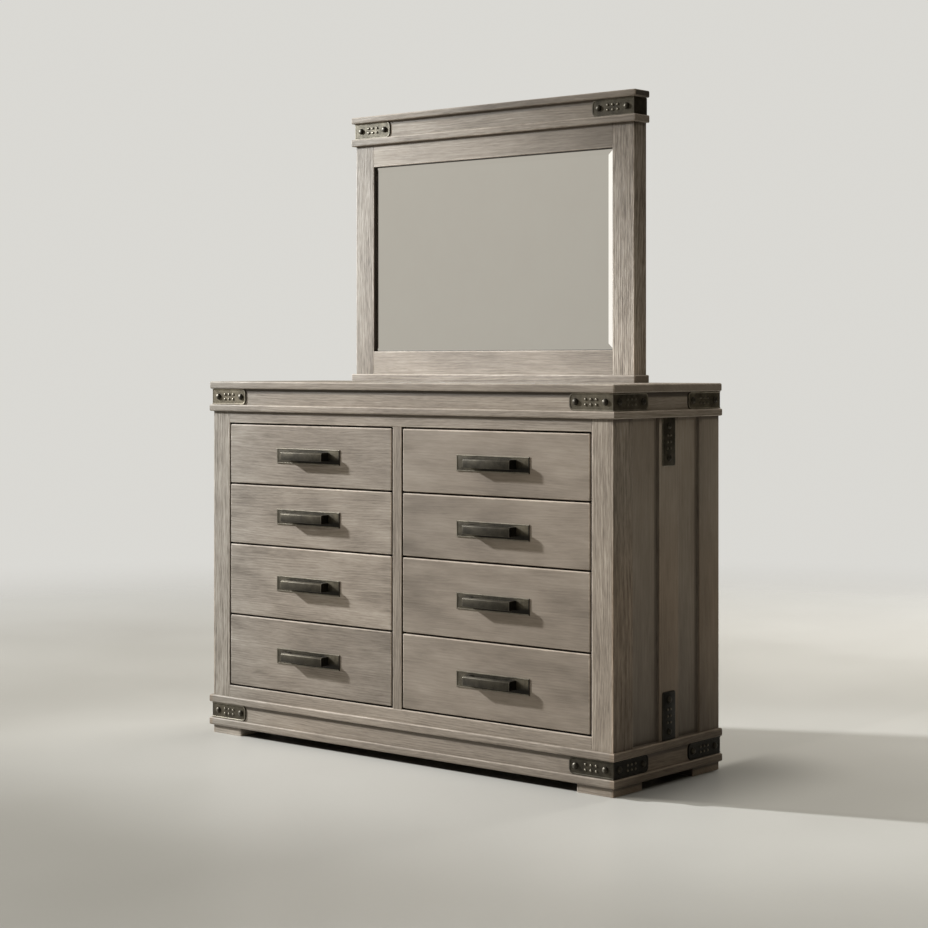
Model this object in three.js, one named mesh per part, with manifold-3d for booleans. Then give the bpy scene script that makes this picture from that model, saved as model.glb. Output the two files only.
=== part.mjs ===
// Eight-drawer dresser with a framed mirror standing on its top.
// Units are millimetres, +Z is up, the drawers open towards -Y.
import * as THREE from 'three';
import { mergeVertices } from 'three/addons/utils/BufferGeometryUtils.js';
import Module from 'manifold-3d';

const wasm = await Module();
wasm.setup();

// ---- driving dimensions -------------------------------------------------
const BODY_W = 1500;            // case width over the two sides
const BODY_D = 496;             // case depth
const PULL_OUT = 32;            // pull in front of the drawer face
const PROUD = 9;                // slab and mouldings in front of the case
const PROUD_REAR = 3;           // the same behind it
const YF = -(BODY_D + PROUD_REAR - PULL_OUT) / 2;   // case front plane
const YB = YF + BODY_D;                        // case rear plane
const HX = BODY_W / 2;

const Z_FOOT = 24;              // floor to lower base moulding
const Z_BASE1 = 46;             // top of lower base moulding
const Z_BASE2 = 93;             // top of base frieze
const Z_BASE3 = 115.5;          // top of upper base moulding
const Z_OPEN0 = 150;            // bottom of the drawer opening
const Z_OPEN1 = 944;            // top of the drawer opening
const Z_RAIL = 978;             // top of the top rail
const Z_TOPM = 998;             // top of the moulding under the frieze
const Z_FRZ = 1046;             // top of the top frieze
const Z_TOP = 1068;             // dresser top

const STILE_W = 70, STILE_T = 22;
const MULLION_W = 33, DIVIDER_T = 18;
const POST_W = 88;              // front post of the side frame
const REAR_POST_W = 94;
const SIDE_T = 24, PANEL_T = 12;
const MID0 = 210.5, MID1 = 298.5;   // centre post of the side, from the front
const RING_T = 20;              // boards of the two friezes
const FOOT_X = 118, FOOT_Y = 129;

const GAP_Z = 5, GAP_X = 5.5;   // reveals round the drawer fronts
const FRONT_T = 20;
const ROWS = [                  // front bottom, front height, box height
  [155, 209, 165],
  [369, 209, 165],
  [583, 175.5, 134],
  [763.5, 175.5, 134],
];
const BOX_LIFT = 14;            // box bottom above the front's bottom edge
const BOX_L = 430;              // box length behind the front
const BOX_SIDE = 16;            // box side to opening edge
const WALL = 12, FLOOR_T = 6;
const RUNNER_T = 12, RUNNER_IN = 20, GUIDE_H = 16, GUIDE_GAP = 1.5;
const BACK_Y0 = 478, BACK_T = 8;

const PLATE_W = 255, PLATE_H = 45.6, PLATE_DZ = -1.5, PLATE_T = 1.5, RIM_T = 1, RIM_W = 3.5;
const BAR_W = 164, BAR_Z0 = -13, BAR_Z1 = 13, BAR_T = 10, LEG_W = 14, BAR_CH = 4;

const BAND_T = 3, BAND_R = 12;  // corner bands
const BAND_LX = 140.5, BAND_LY = 153;
const RIVET_R = 10, RIVET_H = 6, DOT_R = 4, DOT_H = 2.5;
const STRAP_W = 59, STRAP_L = 130, STRAP_CH = 4;
const STRAP_Y = 250;            // middle of the side straps, from the front

const M_HW = 531;               // mirror frame half width
const M_CHW = 543, M_BHW = 541; // crown and foot mouldings, half width
const M_Y0 = YF + 401, M_Y1 = YF + 461, M_CY0 = YF + 390;
const M_OPEN_HW = 456, M_Z0 = 1090, M_ZO0 = 1160, M_ZO1 = 1732, M_Z1 = 1800;
const M_ZM = 1821, M_ZF = 1870.5, M_ZT = 1890;
const LIP_T = 8, RABBET = 8, GLASS_T = 5, BEVEL_W = 19, BEVEL_D = 2;
const CROWN_BAND = 143;

// ---- finishes -----------------------------------------------------------
const FINISH = {
  case_wood: [0x8f8577, 0.72, 0],
  front_wood: [0x998f83, 0.7, 0],
  box_wood: [0xb79f7c, 0.75, 0],
  back_wood: [0x7d7366, 0.8, 0],
  metal: [0x4f4a3e, 0.42, 0.85],
  mirror: [0xd9dcda, 0.03, 1],
};

// ---- solids -------------------------------------------------------------
function toSolid(geometry) {
  let g = geometry.clone();
  g.deleteAttribute('normal');
  g.deleteAttribute('uv');
  g = mergeVertices(g, 1e-4);
  const mesh = new wasm.Mesh({
    numProp: 3,
    vertProperties: Float32Array.from(g.attributes.position.array),
    triVerts: Uint32Array.from(g.index.array),
  });
  return new wasm.Manifold(mesh);
}

function toGeometry(solid) {
  const m = solid.getMesh();
  const g = new THREE.BufferGeometry();
  g.setAttribute('position', new THREE.BufferAttribute(Float32Array.from(m.vertProperties), 3));
  g.setIndex(Array.from(m.triVerts));
  g.computeVertexNormals();
  return g;
}

function raw(points, tris) {
  // Signed volume: a profile listed clockwise is turned to face outwards.
  let v = 0;
  for (const [a, b, c] of tris) {
    const [p, q, r] = [points[a], points[b], points[c]];
    v += p[0] * (q[1] * r[2] - q[2] * r[1]) + p[1] * (q[2] * r[0] - q[0] * r[2]) + p[2] * (q[0] * r[1] - q[1] * r[0]);
  }
  if (v < 0) tris = tris.map(([a, b, c]) => [a, c, b]);
  const g = new THREE.BufferGeometry();
  g.setAttribute('position', new THREE.BufferAttribute(new Float32Array(points.flat()), 3));
  g.setIndex(tris.flat());
  return toSolid(g);
}

function box(x0, x1, y0, y1, z0, z1) {
  const g = new THREE.BoxGeometry(x1 - x0, y1 - y0, z1 - z0);
  g.translate((x0 + x1) / 2, (y0 + y1) / 2, (z0 + z1) / 2);
  return toSolid(g);
}

const join = (...s) => s.reduce((a, b) => a.add(b));

// Closed loft between polygons with equal point counts, capped at both ends.
function loft(rings) {
  const n = rings[0].length;
  const pts = rings.flat();
  const tris = [];
  for (let k = 0; k + 1 < rings.length; k++) {
    for (let i = 0; i < n; i++) {
      const a = k * n + i, b = k * n + ((i + 1) % n), c = a + n, d = b + n;
      tris.push([a, b, d], [a, d, c]);
    }
  }
  for (let i = 1; i + 1 < n; i++) tris.push([0, i + 1, i]);
  const o = (rings.length - 1) * n;
  for (let i = 1; i + 1 < n; i++) tris.push([o, o + i, o + i + 1]);
  return raw(pts, tris);
}

// Dome on a plane: centre c, outward unit axis 'x', 'y' or 'z' with sign.
function dome(c, axis, sign, r, h, segs, rings) {
  const pts = [], tris = [];
  const put = (a, b, o) => {
    if (axis === 'y') return [c[0] + a, c[1] + sign * o, c[2] + b];
    return [c[0] + sign * o, c[1] + a, c[2] + b];
  };
  const root = -1;
  for (let k = 0; k <= rings; k++) {
    const t = (k / (rings + 1)) * Math.PI / 2;
    const rr = k === 0 ? r : r * Math.cos(t);
    const oo = k === 0 ? 0 : h * Math.sin(t);
    for (let i = 0; i < segs; i++) {
      const p = (i / segs) * Math.PI * 2;
      pts.push(put(rr * Math.cos(p), rr * Math.sin(p), oo));
    }
  }
  const rootStart = pts.length;
  for (let i = 0; i < segs; i++) {
    const p = (i / segs) * Math.PI * 2;
    pts.push(put(r * Math.cos(p), r * Math.sin(p), root));
  }
  const apex = pts.length; pts.push(put(0, 0, h));
  const foot = pts.length; pts.push(put(0, 0, root));
  const tri = (a, b, d) => tris.push([a, b, d]);
  for (let i = 0; i < segs; i++) {
    const j = (i + 1) % segs;
    tri(rootStart + i, rootStart + j, j); tri(rootStart + i, j, i);
    for (let k = 0; k < rings; k++) {
      const a = k * segs + i, b = k * segs + j;
      tri(a, b, b + segs); tri(a, b + segs, a + segs);
    }
    tri(rings * segs + i, rings * segs + j, apex);
    tri(foot, rootStart + j, rootStart + i);
  }
  return raw(pts, tris);
}

const bigRivet = (c, axis, sign) => dome(c, axis, sign, RIVET_R, RIVET_H, 16, 3);
const smallDot = (c, axis, sign) => dome(c, axis, sign, DOT_R, DOT_H, 10, 1);

// Outline of a plate from u0 to u1 and w0 to w1, rounded at the u1 end.
function plateOutline(u0, u1, w0, w1, r, steps) {
  const p = [[u0, w0]];
  for (let i = 0; i <= steps; i++) {
    const t = -Math.PI / 2 + (i / steps) * Math.PI / 2;
    p.push([u1 - r + r * Math.cos(t), w0 + r + r * Math.sin(t)]);
  }
  for (let i = 0; i <= steps; i++) {
    const t = (i / steps) * Math.PI / 2;
    p.push([u1 - r + r * Math.cos(t), w1 - r + r * Math.sin(t)]);
  }
  p.push([u0, w1]);
  return p;
}

// Corner band round one vertical corner of a case.
// sx: side of the corner in X; front: true for the corner nearest -Y.
function cornerBand(cx, cy, sx, front, z0, z1, lx, ly, studsY) {
  const sy = front ? 1 : -1;
  const X = (u) => cx - sx * u, Y = (v) => cy + sy * v;
  const zc = (z0 + z1) / 2;
  const legX = plateOutline(-BAND_T, lx, z0, z1, BAND_R, 5);
  const a = loft([
    legX.map(([u, w]) => [X(u), Y(0), w]),
    legX.map(([u, w]) => [X(u), Y(-BAND_T), w]),
  ]);
  const legY = studsY ? plateOutline(-BAND_T, ly, z0, z1, BAND_R, 5)
    : [[-BAND_T, z0], [ly, z0], [ly, z1], [-BAND_T, z1]];
  const b = loft([
    legY.map(([v, w]) => [X(0), Y(v), w]),
    legY.map(([v, w]) => [X(-BAND_T), Y(v), w]),
  ]);
  let s = a.add(b);
  const yf = Y(-BAND_T), xf = X(-BAND_T);
  // The back leg is plain, so that the case can stand against a wall.
  const u1 = studsY ? lx - 20 : lx - 22, um = studsY ? lx / 2 : (lx + 2) / 2;
  if (front) {
    for (const u of [24, u1]) s = s.add(bigRivet([X(u), yf, zc], 'y', -sy));
    for (const du of [-17.5, 0, 17.5]) for (const dz of [-7, 7]) {
      s = s.add(smallDot([X(um + du), yf, zc + dz], 'y', -sy));
    }
  }
  if (studsY) {
    for (const v of [24, ly - 22]) s = s.add(bigRivet([xf, Y(v), zc], 'x', sx));
    for (const dv of [-17.5, 0, 17.5]) for (const dz of [-7, 7]) {
      s = s.add(smallDot([xf, Y((ly + 2) / 2 + dv), zc + dz], 'x', sx));
    }
  }
  return s;
}

// Strap on the centre post of a side; end: +1 hangs from the top, -1 stands on the base.
function sideStrap(sx, z0, z1, end) {
  const yc = YF + STRAP_Y, h = STRAP_W / 2, c = STRAP_CH;
  const o = end > 0
    ? [[-h, z1], [-h, z0 + c], [-h + c, z0], [h - c, z0], [h, z0 + c], [h, z1]]
    : [[-h, z1 - c], [-h, z0], [h, z0], [h, z1 - c], [h - c, z1], [-h + c, z1]];
  const inner = o.map(([v, w]) => [sx * HX, yc + v, w]);
  const outer = o.map(([v, w]) => [sx * (HX + BAND_T), yc + v, w]);
  let s = loft([inner, outer]);
  const xf = sx * (HX + BAND_T), zc = (z0 + z1) / 2;
  for (const z of [z0 + 22, z1 - 22]) s = s.add(bigRivet([xf, yc, z], 'x', sx));
  for (const dz of [-17.5, 0, 17.5]) for (const dv of [-7, 7]) {
    s = s.add(smallDot([xf, yc + dv, zc + dz], 'x', sx));
  }
  return s;
}

function ring(x, y0, y1, wall, z0, z1) {
  return box(-x, x, y0, y1, z0, z1).subtract(box(-x + wall, x - wall, y0 + wall, y1 - wall, z0 - 1, z1 + 1));
}

// ---- assembly -----------------------------------------------------------
const group = new THREE.Group();
group.name = 'dresser_with_mirror';

// A sub-assembly with its own origin; the nodes that follow belong to it.
let current = group;
function assembly(name, x, y, z) {
  current = new THREE.Group();
  current.name = name;
  current.position.set(x, y, z);
  group.add(current);
}

function node(name, solid, finish) {
  const [color, roughness, metalness] = FINISH[finish];
  const material = new THREE.MeshStandardMaterial({ color, roughness, metalness });
  material.name = finish;
  const geometry = toGeometry(solid);
  const { x, y, z } = current.position;
  geometry.translate(-x, -y, -z);
  const mesh = new THREE.Mesh(geometry, material);
  mesh.name = name;
  current.add(mesh);
}

assembly('case', 0, 0, 0);

const MX = HX + PROUD, MY0 = YF - PROUD, MY1 = YB + PROUD_REAR;

// Base: feet with the lower moulding, frieze, upper moulding.
let foot = ring(MX, MY0, MY1, RING_T + PROUD, Z_FOOT, Z_BASE1);
for (const sx of [-1, 1]) {
  for (const [y0, y1] of [[YF, YF + FOOT_Y], [YB - FOOT_Y, YB]]) {
    foot = foot.add(sx < 0 ? box(-HX, -HX + FOOT_X, y0, y1, 0, Z_FOOT) : box(HX - FOOT_X, HX, y0, y1, 0, Z_FOOT));
  }
}
node('base_moulding_lower_with_feet', foot, 'case_wood');
node('base_frieze', ring(HX, YF, YB, RING_T, Z_BASE1, Z_BASE2), 'case_wood');
node('base_moulding_upper', box(-MX, MX, MY0, MY1, Z_BASE2, Z_BASE3), 'case_wood');

// Case sides: corner post, panel, centre post, rear post and drawer runners.
const innerX = HX - SIDE_T;
const runnerY0 = YF + STILE_T, runnerY1 = YF + BACK_Y0;
const boxX = (MULLION_W / 2) + BOX_SIDE;                  // inner side of a box
const boxX1 = HX - STILE_W - BOX_SIDE;                    // outer side of a box
function sideSolid() {
  let s = join(
    box(HX - STILE_W, HX, YF, YF + STILE_T, Z_BASE3, Z_RAIL),
    box(innerX, HX, YF, YF + POST_W, Z_BASE3, Z_RAIL),
    box(innerX, HX, YF + MID0, YF + MID1, Z_BASE3, Z_RAIL),
    box(innerX, HX, YB - REAR_POST_W, YB, Z_BASE3, Z_RAIL),
    box(innerX, innerX + PANEL_T, YF, YB, Z_BASE3, Z_RAIL),
  );
  for (const [z] of ROWS) {
    const zb = z + BOX_LIFT;
    s = s.add(box(boxX1 - RUNNER_IN, innerX, runnerY0, runnerY1, zb - 1 - RUNNER_T, zb - 1));
    s = s.add(box(boxX1 + GUIDE_GAP, innerX, runnerY0, runnerY1, zb - 1 - RUNNER_T, zb + GUIDE_H));
  }
  return s;
}
function mirrorX(solid) {
  const g = toGeometry(solid);
  g.scale(-1, 1, 1);
  const i = g.index.array;
  for (let k = 0; k < i.length; k += 3) { const t = i[k]; i[k] = i[k + 1]; i[k + 1] = t; }
  return toSolid(g);
}
const right = sideSolid();
node('side_right', right, 'case_wood');
node('side_left', mirrorX(right), 'case_wood');

// Centre divider: mullion, partition board and its runners.
let div = join(
  box(-MULLION_W / 2, MULLION_W / 2, YF, YF + STILE_T, Z_OPEN0, Z_OPEN1),
  box(-DIVIDER_T / 2, DIVIDER_T / 2, runnerY0, runnerY1, Z_BASE3, Z_RAIL),
);
for (const [z] of ROWS) {
  const zb = z + BOX_LIFT;
  div = div.add(box(-boxX - RUNNER_IN, boxX + RUNNER_IN, runnerY0, runnerY1, zb - 1 - RUNNER_T, zb - 1));
  div = div.add(box(-boxX + GUIDE_GAP, boxX - GUIDE_GAP, runnerY0, runnerY1, zb - 1 - RUNNER_T, zb + GUIDE_H));
}
node('centre_divider', div, 'case_wood');
const railX = HX - STILE_W;
node('rail_top', box(-railX, railX, YF, YF + STILE_T, Z_OPEN1, Z_RAIL), 'case_wood');
node('rail_bottom', box(-railX, railX, YF, YF + STILE_T, Z_BASE3, Z_OPEN0), 'case_wood');
node('back_panel', box(-innerX, innerX, YF + BACK_Y0, YF + BACK_Y0 + BACK_T, Z_BASE3, Z_RAIL), 'back_wood');

// Top: moulding board, frieze, slab.
node('top_moulding', box(-MX, MX, MY0, MY1, Z_RAIL, Z_TOPM), 'case_wood');
node('top_frieze', ring(HX, YF, YB, RING_T, Z_TOPM, Z_FRZ), 'case_wood');
node('top_slab', box(-MX, MX, MY0, MY1, Z_FRZ, Z_TOP), 'case_wood');

// Corner bands and side straps.
for (const [level, z0, z1] of [['top', Z_TOPM, Z_FRZ], ['base', Z_BASE1, Z_BASE2]]) {
  for (const [side, sx] of [['left', -1], ['right', 1]]) {
    for (const [end, front] of [['front', true], ['rear', false]]) {
      node(`bracket_${level}_${end}_${side}`,
        cornerBand(sx * HX, front ? YF : YB, sx, front, z0, z1, BAND_LX, BAND_LY, true), 'metal');
    }
  }
}
for (const [side, sx] of [['left', -1], ['right', 1]]) {
  node(`strap_top_${side}`, sideStrap(sx, Z_RAIL - STRAP_L, Z_RAIL, 1), 'metal');
  node(`strap_base_${side}`, sideStrap(sx, Z_BASE3, Z_BASE3 + STRAP_L, -1), 'metal');
}

// Drawers.
function pullSolid(xc, zc) {
  const y = YF;
  const p0 = zc + PLATE_DZ - PLATE_H / 2, p1 = zc + PLATE_DZ + PLATE_H / 2;
  const plate = box(xc - PLATE_W / 2, xc + PLATE_W / 2, y - PLATE_T, y, p0, p1);
  const rim = box(xc - PLATE_W / 2, xc + PLATE_W / 2, y - PLATE_T - RIM_T, y - PLATE_T / 2, p0, p1)
    .subtract(box(xc - PLATE_W / 2 + RIM_W, xc + PLATE_W / 2 - RIM_W, y - 10, y, p0 + RIM_W, p1 - RIM_W));
  const b0 = xc - BAR_W / 2, b1 = xc + BAR_W / 2;
  const yo = y - PULL_OUT, yi = yo + BAR_T, z0 = zc + BAR_Z0, z1 = zc + BAR_Z1, c = BAR_CH;
  const section = [[yo, z0 + 1.5], [yo + 1.5, z0], [yi, z0], [yi, z1], [yo + c, z1], [yo, z1 - c]];
  const bar = loft([section.map(([a, b]) => [b0, a, b]), section.map(([a, b]) => [b1, a, b])]);
  const legs = join(
    box(b0, b0 + LEG_W, yi - 2, y - PLATE_T / 2, z0, z1),
    box(b1 - LEG_W, b1, yi - 2, y - PLATE_T / 2, z0, z1),
  );
  return join(plate, rim, bar, legs);
}
const colX = (MULLION_W / 2 + railX) / 2, halfFront = (railX - MULLION_W / 2) / 2 - GAP_X;
ROWS.forEach(([z, h, bh], r) => {
  for (const [side, sx] of [['left', -1], ['right', 1]]) {
    const id = `r${ROWS.length - r}_${side}`;
    const xc = sx * colX;
    assembly(`drawer_${id}`, xc, YF, z);
    node(`drawer_front_${id}`, box(xc - halfFront, xc + halfFront, YF, YF + FRONT_T, z, z + h), 'front_wood');
    const x0 = sx < 0 ? -boxX1 : boxX, x1 = sx < 0 ? -boxX : boxX1;
    const y0 = YF + FRONT_T, y1 = y0 + BOX_L, zb = z + BOX_LIFT;
    const tray = box(x0, x1, y0, y1, zb, zb + bh)
      .subtract(box(x0 + WALL, x1 - WALL, y0 + WALL, y1 - WALL, zb + FLOOR_T, zb + bh + 1));
    node(`drawer_box_${id}`, tray, 'box_wood');
    node(`drawer_pull_${id}`, pullSolid(xc, z + h / 2), 'metal');
  }
});

// Mirror.
assembly('mirror', 0, M_Y0, Z_TOP);
node('mirror_foot_moulding', box(-M_BHW, M_BHW, M_CY0, M_Y1, Z_TOP, M_Z0), 'case_wood');
const rabbet = box(-M_OPEN_HW - RABBET, M_OPEN_HW + RABBET, M_Y0 + LIP_T, M_Y1 + 1, M_ZO0 - RABBET, M_ZO1 + RABBET);
node('mirror_stile_left', box(-M_HW, -M_OPEN_HW, M_Y0, M_Y1, M_Z0, M_Z1).subtract(rabbet), 'case_wood');
node('mirror_stile_right', box(M_OPEN_HW, M_HW, M_Y0, M_Y1, M_Z0, M_Z1).subtract(rabbet), 'case_wood');
node('mirror_rail_bottom', box(-M_OPEN_HW, M_OPEN_HW, M_Y0, M_Y1, M_Z0, M_ZO0).subtract(rabbet), 'case_wood');
node('mirror_rail_top', box(-M_OPEN_HW, M_OPEN_HW, M_Y0, M_Y1, M_ZO1, M_Z1).subtract(rabbet), 'case_wood');
const gx = M_OPEN_HW + RABBET - 0.5, gz0 = M_ZO0 - RABBET + 0.5, gz1 = M_ZO1 + RABBET - 0.5;
const gy = M_Y0 + LIP_T;
const pane = box(-gx, gx, gy + BEVEL_D, gy + GLASS_T, gz0, gz1);
const rect = (hx, y, za, zb) => [[-hx, y, za], [hx, y, za], [hx, y, zb], [-hx, y, zb]];
const bevel = loft([
  rect(M_OPEN_HW, gy + BEVEL_D + 0.5, M_ZO0, M_ZO1),
  rect(M_OPEN_HW, gy + BEVEL_D, M_ZO0, M_ZO1),
  rect(M_OPEN_HW - BEVEL_W, gy, M_ZO0 + BEVEL_W, M_ZO1 - BEVEL_W),
]);
node('mirror_glass', pane.add(bevel), 'mirror');
node('mirror_backboard', box(-gx, gx, M_Y1 - 8, M_Y1 - 2, gz0, gz1), 'back_wood');
node('mirror_crown_moulding', box(-M_CHW, M_CHW, M_CY0, M_Y1, M_Z1, M_ZM), 'case_wood');
node('mirror_crown_frieze', box(-M_HW, M_HW, M_Y0, M_Y1, M_ZM, M_ZF), 'case_wood');
node('mirror_crown_slab', box(-M_CHW, M_CHW, M_CY0, M_Y1, M_ZF, M_ZT), 'case_wood');
for (const [side, sx] of [['left', -1], ['right', 1]]) {
  node(`mirror_bracket_${side}`,
    cornerBand(sx * M_HW, M_Y0, sx, true, M_ZM, M_ZF, CROWN_BAND, M_Y1 - M_Y0, false), 'metal');
}

export default group;
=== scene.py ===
"""Dresser with a framed mirror: the looks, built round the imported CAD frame. Metres outside, millimetres inside the builders."""

import math
import random

import bmesh
import bpy
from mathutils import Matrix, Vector


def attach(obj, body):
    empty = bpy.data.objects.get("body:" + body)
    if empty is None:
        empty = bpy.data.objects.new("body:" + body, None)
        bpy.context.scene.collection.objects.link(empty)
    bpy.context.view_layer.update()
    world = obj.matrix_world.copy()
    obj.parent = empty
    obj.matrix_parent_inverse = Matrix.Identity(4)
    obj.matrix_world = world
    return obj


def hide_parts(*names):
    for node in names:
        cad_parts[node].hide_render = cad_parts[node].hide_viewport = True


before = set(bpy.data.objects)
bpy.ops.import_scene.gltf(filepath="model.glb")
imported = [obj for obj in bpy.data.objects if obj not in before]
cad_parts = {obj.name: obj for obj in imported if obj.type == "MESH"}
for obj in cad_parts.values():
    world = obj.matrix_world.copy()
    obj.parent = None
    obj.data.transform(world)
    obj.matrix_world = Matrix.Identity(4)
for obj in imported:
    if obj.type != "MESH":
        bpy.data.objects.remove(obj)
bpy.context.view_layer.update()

# ---- the CAD model's planes, in millimetres --------------------------------
YF, YB, HX = -233.5, 262.5, 750.0
MX, MY0, MY1 = HX + 9, YF - 9, YB + 3
Z_FOOT, Z_B1, Z_B2, Z_B3 = 24.0, 46.0, 93.0, 115.5
Z_O0, Z_O1, Z_RAIL, Z_TOPM, Z_FRZ, Z_TOP = 150.0, 944.0, 978.0, 998.0, 1046.0, 1068.0
RAIL_X, POST, REAR_POST, MID0, MID1 = 680.0, 88.0, 94.0, YF + 210.5, YF + 298.5
ROWS = [(155.0, 209.0, 165.0), (369.0, 209.0, 165.0), (583.0, 175.5, 134.0), (763.5, 175.5, 134.0)]
COL_X, HALF_FRONT = 348.25, 326.25
BOX_IN, BOX_OUT, BOX_LIFT, BOX_L, WALL = 32.5, 664.0, 14.0, 430.0, 12.0
M_HW, M_CHW, M_BHW, M_OHW = 531.0, 543.0, 541.0, 456.0
M_Y0, M_Y1, M_CY0 = YF + 401, YF + 461, YF + 390
M_Z0, M_ZO0, M_ZO1, M_Z1, M_ZM, M_ZF, M_ZT = 1090.0, 1160.0, 1732.0, 1800.0, 1821.0, 1870.5, 1890.0
FAR = 9000.0


# ---- mesh builders ----------------------------------------------------------
class Shell:
    """One mesh made of boards and plates. Each brings its grain coordinates, the distances to its own edges, and tone,
    contrast and wear.
    Wear above zero rubs the edges lighter, which on top edges is also painted highlight; below zero it paints a dark
    band of shade along them."""

    def __init__(self):
        self.co, self.faces, self.smooth, self.mats = [], [], [], []
        self.gc, self.lo, self.hi, self.wp, self.end = [], [], [], [], []

    def take(self, bm, grain, lo, hi, wp, off, smooth=False, mat=0, wear=None, tint=None):
        base = len(self.co)
        bm.verts.index_update()
        bm.normal_update()
        for v in bm.verts:
            x, y, z = v.co
            self.co.append((x * 0.001, y * 0.001, z * 0.001))
            along, a, b = {"x": (x, z, y), "y": (y, z, x), "z": (z, x, y)}[grain]
            self.gc.append((along * 0.001 + off[0], a * 0.001 + off[1], b * 0.001 + off[2]))
            self.lo.append(((x - lo[0]) * 0.001, (y - lo[1]) * 0.001, (z - lo[2]) * 0.001))
            self.hi.append(((hi[0] - x) * 0.001, (hi[1] - y) * 0.001, (hi[2] - z) * 0.001))
            self.wp.append((wp[0] * (tint(v.co) if tint else 1.0), wp[1], wear(v.co) if wear else wp[2]))
        for f in bm.faces:
            self.faces.append([base + v.index for v in f.verts])
            self.smooth.append(smooth)
            self.mats.append(mat)
            self.end.append(1.0 if abs(f.normal["xyz".index(grain)]) > 0.8 else 0.0)
        bm.free()

    def piece(self, name, body, mats, replaces=(), sharp=None):
        me = bpy.data.meshes.new(name)
        me.from_pydata(self.co, [], self.faces)
        for key, data in (("gc", self.gc), ("elo", self.lo), ("ehi", self.hi), ("wp", self.wp)):
            at = me.attributes.new(key, "FLOAT_VECTOR", "POINT")
            at.data.foreach_set("vector", [c for v in data for c in v])
        me.attributes.new("endg", "FLOAT", "FACE").data.foreach_set("value", self.end)
        me.polygons.foreach_set("use_smooth", self.smooth)
        me.polygons.foreach_set("material_index", self.mats)
        for m in mats:
            me.materials.append(m)
        me.update()
        if sharp:
            me.set_sharp_from_angle(angle=math.radians(sharp))
        ob = bpy.data.objects.new(name, me)
        bpy.context.scene.collection.objects.link(ob)
        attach(ob, body)
        if replaces:
            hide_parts(*replaces)
        return ob


def prism(poly, axis, a0, a1, r=0.0, seg=3, joints=()):
    """A polygon carried along an axis, its free convex edges eased by r. The faces in joints keep sharp edges, because another board meets them."""
    bm = bmesh.new()

    def at(p, a):
        return {"x": (a, p[0], p[1]), "y": (p[0], a, p[1]), "z": (p[0], p[1], a)}[axis]

    low = [bm.verts.new(at(p, a0)) for p in poly]
    high = [bm.verts.new(at(p, a1)) for p in poly]
    n = len(poly)
    key = {bm.faces.new(low[::-1]): "lo", bm.faces.new(high): "hi"}
    for i in range(n):
        j = (i + 1) % n
        key[bm.faces.new((low[i], low[j], high[j], high[i]))] = i
    bmesh.ops.recalc_face_normals(bm, faces=bm.faces[:])
    if r > 0:
        free = [
            e
            for e in bm.edges
            if not any(key[f] in joints for f in e.link_faces)
            and e.is_convex
            and e.calc_face_angle() > math.radians(25)
        ]
        if free:
            bmesh.ops.bevel(bm, geom=free, offset=r, offset_type="OFFSET", segments=seg, profile=0.5, affect="EDGES", clamp_overlap=True)
    return bm


SIDES = {"-y": 0, "+x": 1, "+y": 2, "-x": 3, "-z": "lo", "+z": "hi"}


def offset(seed):
    rng = random.Random(seed)
    return (rng.uniform(-9, 9), rng.uniform(-9, 9), rng.uniform(-9, 9))


def tone(seed, contrast=1.0, spread=0.05, level=1.0):
    rng = random.Random(seed * 7 + 3)
    return (level * (1.0 + rng.uniform(-spread, spread)), contrast, 0.0)


def cut(bm, axis, at):
    """A loop of vertices round a board, so that its wear can change there."""
    no = [0.0, 0.0, 0.0]
    no["xyz".index(axis)] = 1.0
    bmesh.ops.bisect_plane(bm, geom=bm.verts[:] + bm.edges[:] + bm.faces[:], plane_co=[at * c for c in no], plane_no=no)


def painted_gap_shade(level, x0=0.0, x1=1.0, slope=(1.0, 1.0)):
    """Painted shade: the faces inside the gaps round the drawers are tinted dark to level. Elsewhere the tone runs
    between two values at the ends of the board, as painted light over it.
    """
    return lambda co: level if co[1] > YF + 4.0 else slope[0] + (slope[1] - slope[0]) * (co[0] - x0) / (x1 - x0)


def painted_side_shade(z, side):
    """Painted shade: the sides of the case darken towards the floor, fully on the right side and half as much on the
    left.
    """
    pts = ((150.0, 0.46), (330.0, 0.74), (480.0, 0.87), (650.0, 0.93), (800.0, 1.01), (950.0, 1.09))
    z = min(max(z, pts[0][0]), pts[-1][0])
    for (za, fa), (zb, fb) in zip(pts, pts[1:]):
        if z <= zb:
            f = fa + (fb - fa) * (z - za) / (zb - za)
            return f if side > 0 else 0.5 + 0.5 * f


def ring_painted_light(side, left, right):
    """Painted light on a mitred ring: one tone on its shaded right side, and along its front a tone running from its
    left end to its right end as the light changes.
    """
    return lambda i, co: side if i == 1 else (left + (right - left) * (co[0] + MX) / (2 * MX) if i == 0 else 1.0)


def mirror_painted_light(left, middle, right, side=1.0):
    """Painted light along a board of the mirror frame: a tone at left, middle and right that follows the light on it,
    and the side tone on its shaded right-hand end.
    """
    def tint(co):
        if co[0] > M_HW - 0.3 and co[1] > M_Y0 + 1.0 or co[0] > M_CHW - 0.3 and co[1] > M_CY0 + 3.0:
            return side
        f = min(1.0, abs(co[0]) / M_HW)
        return middle + ((left if co[0] < 0 else right) - middle) * f
    return tint


def by_height(z, above, below):
    """Wear by height: one value over z, another under it. Where edges are lighter above and darker below, that is
    painted light from above.
    """
    return lambda co: above if co[2] > z else below


def quiet_sides(z, above, below):
    """The same, but the edges of the faces towards the sides get a faint painted shade instead of rubbed light."""
    return lambda co: min(-0.15 if abs(co[0]) > MX - 0.5 and co[1] > MY0 + 1.0 else 1.0, above if co[2] > z else below)


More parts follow.
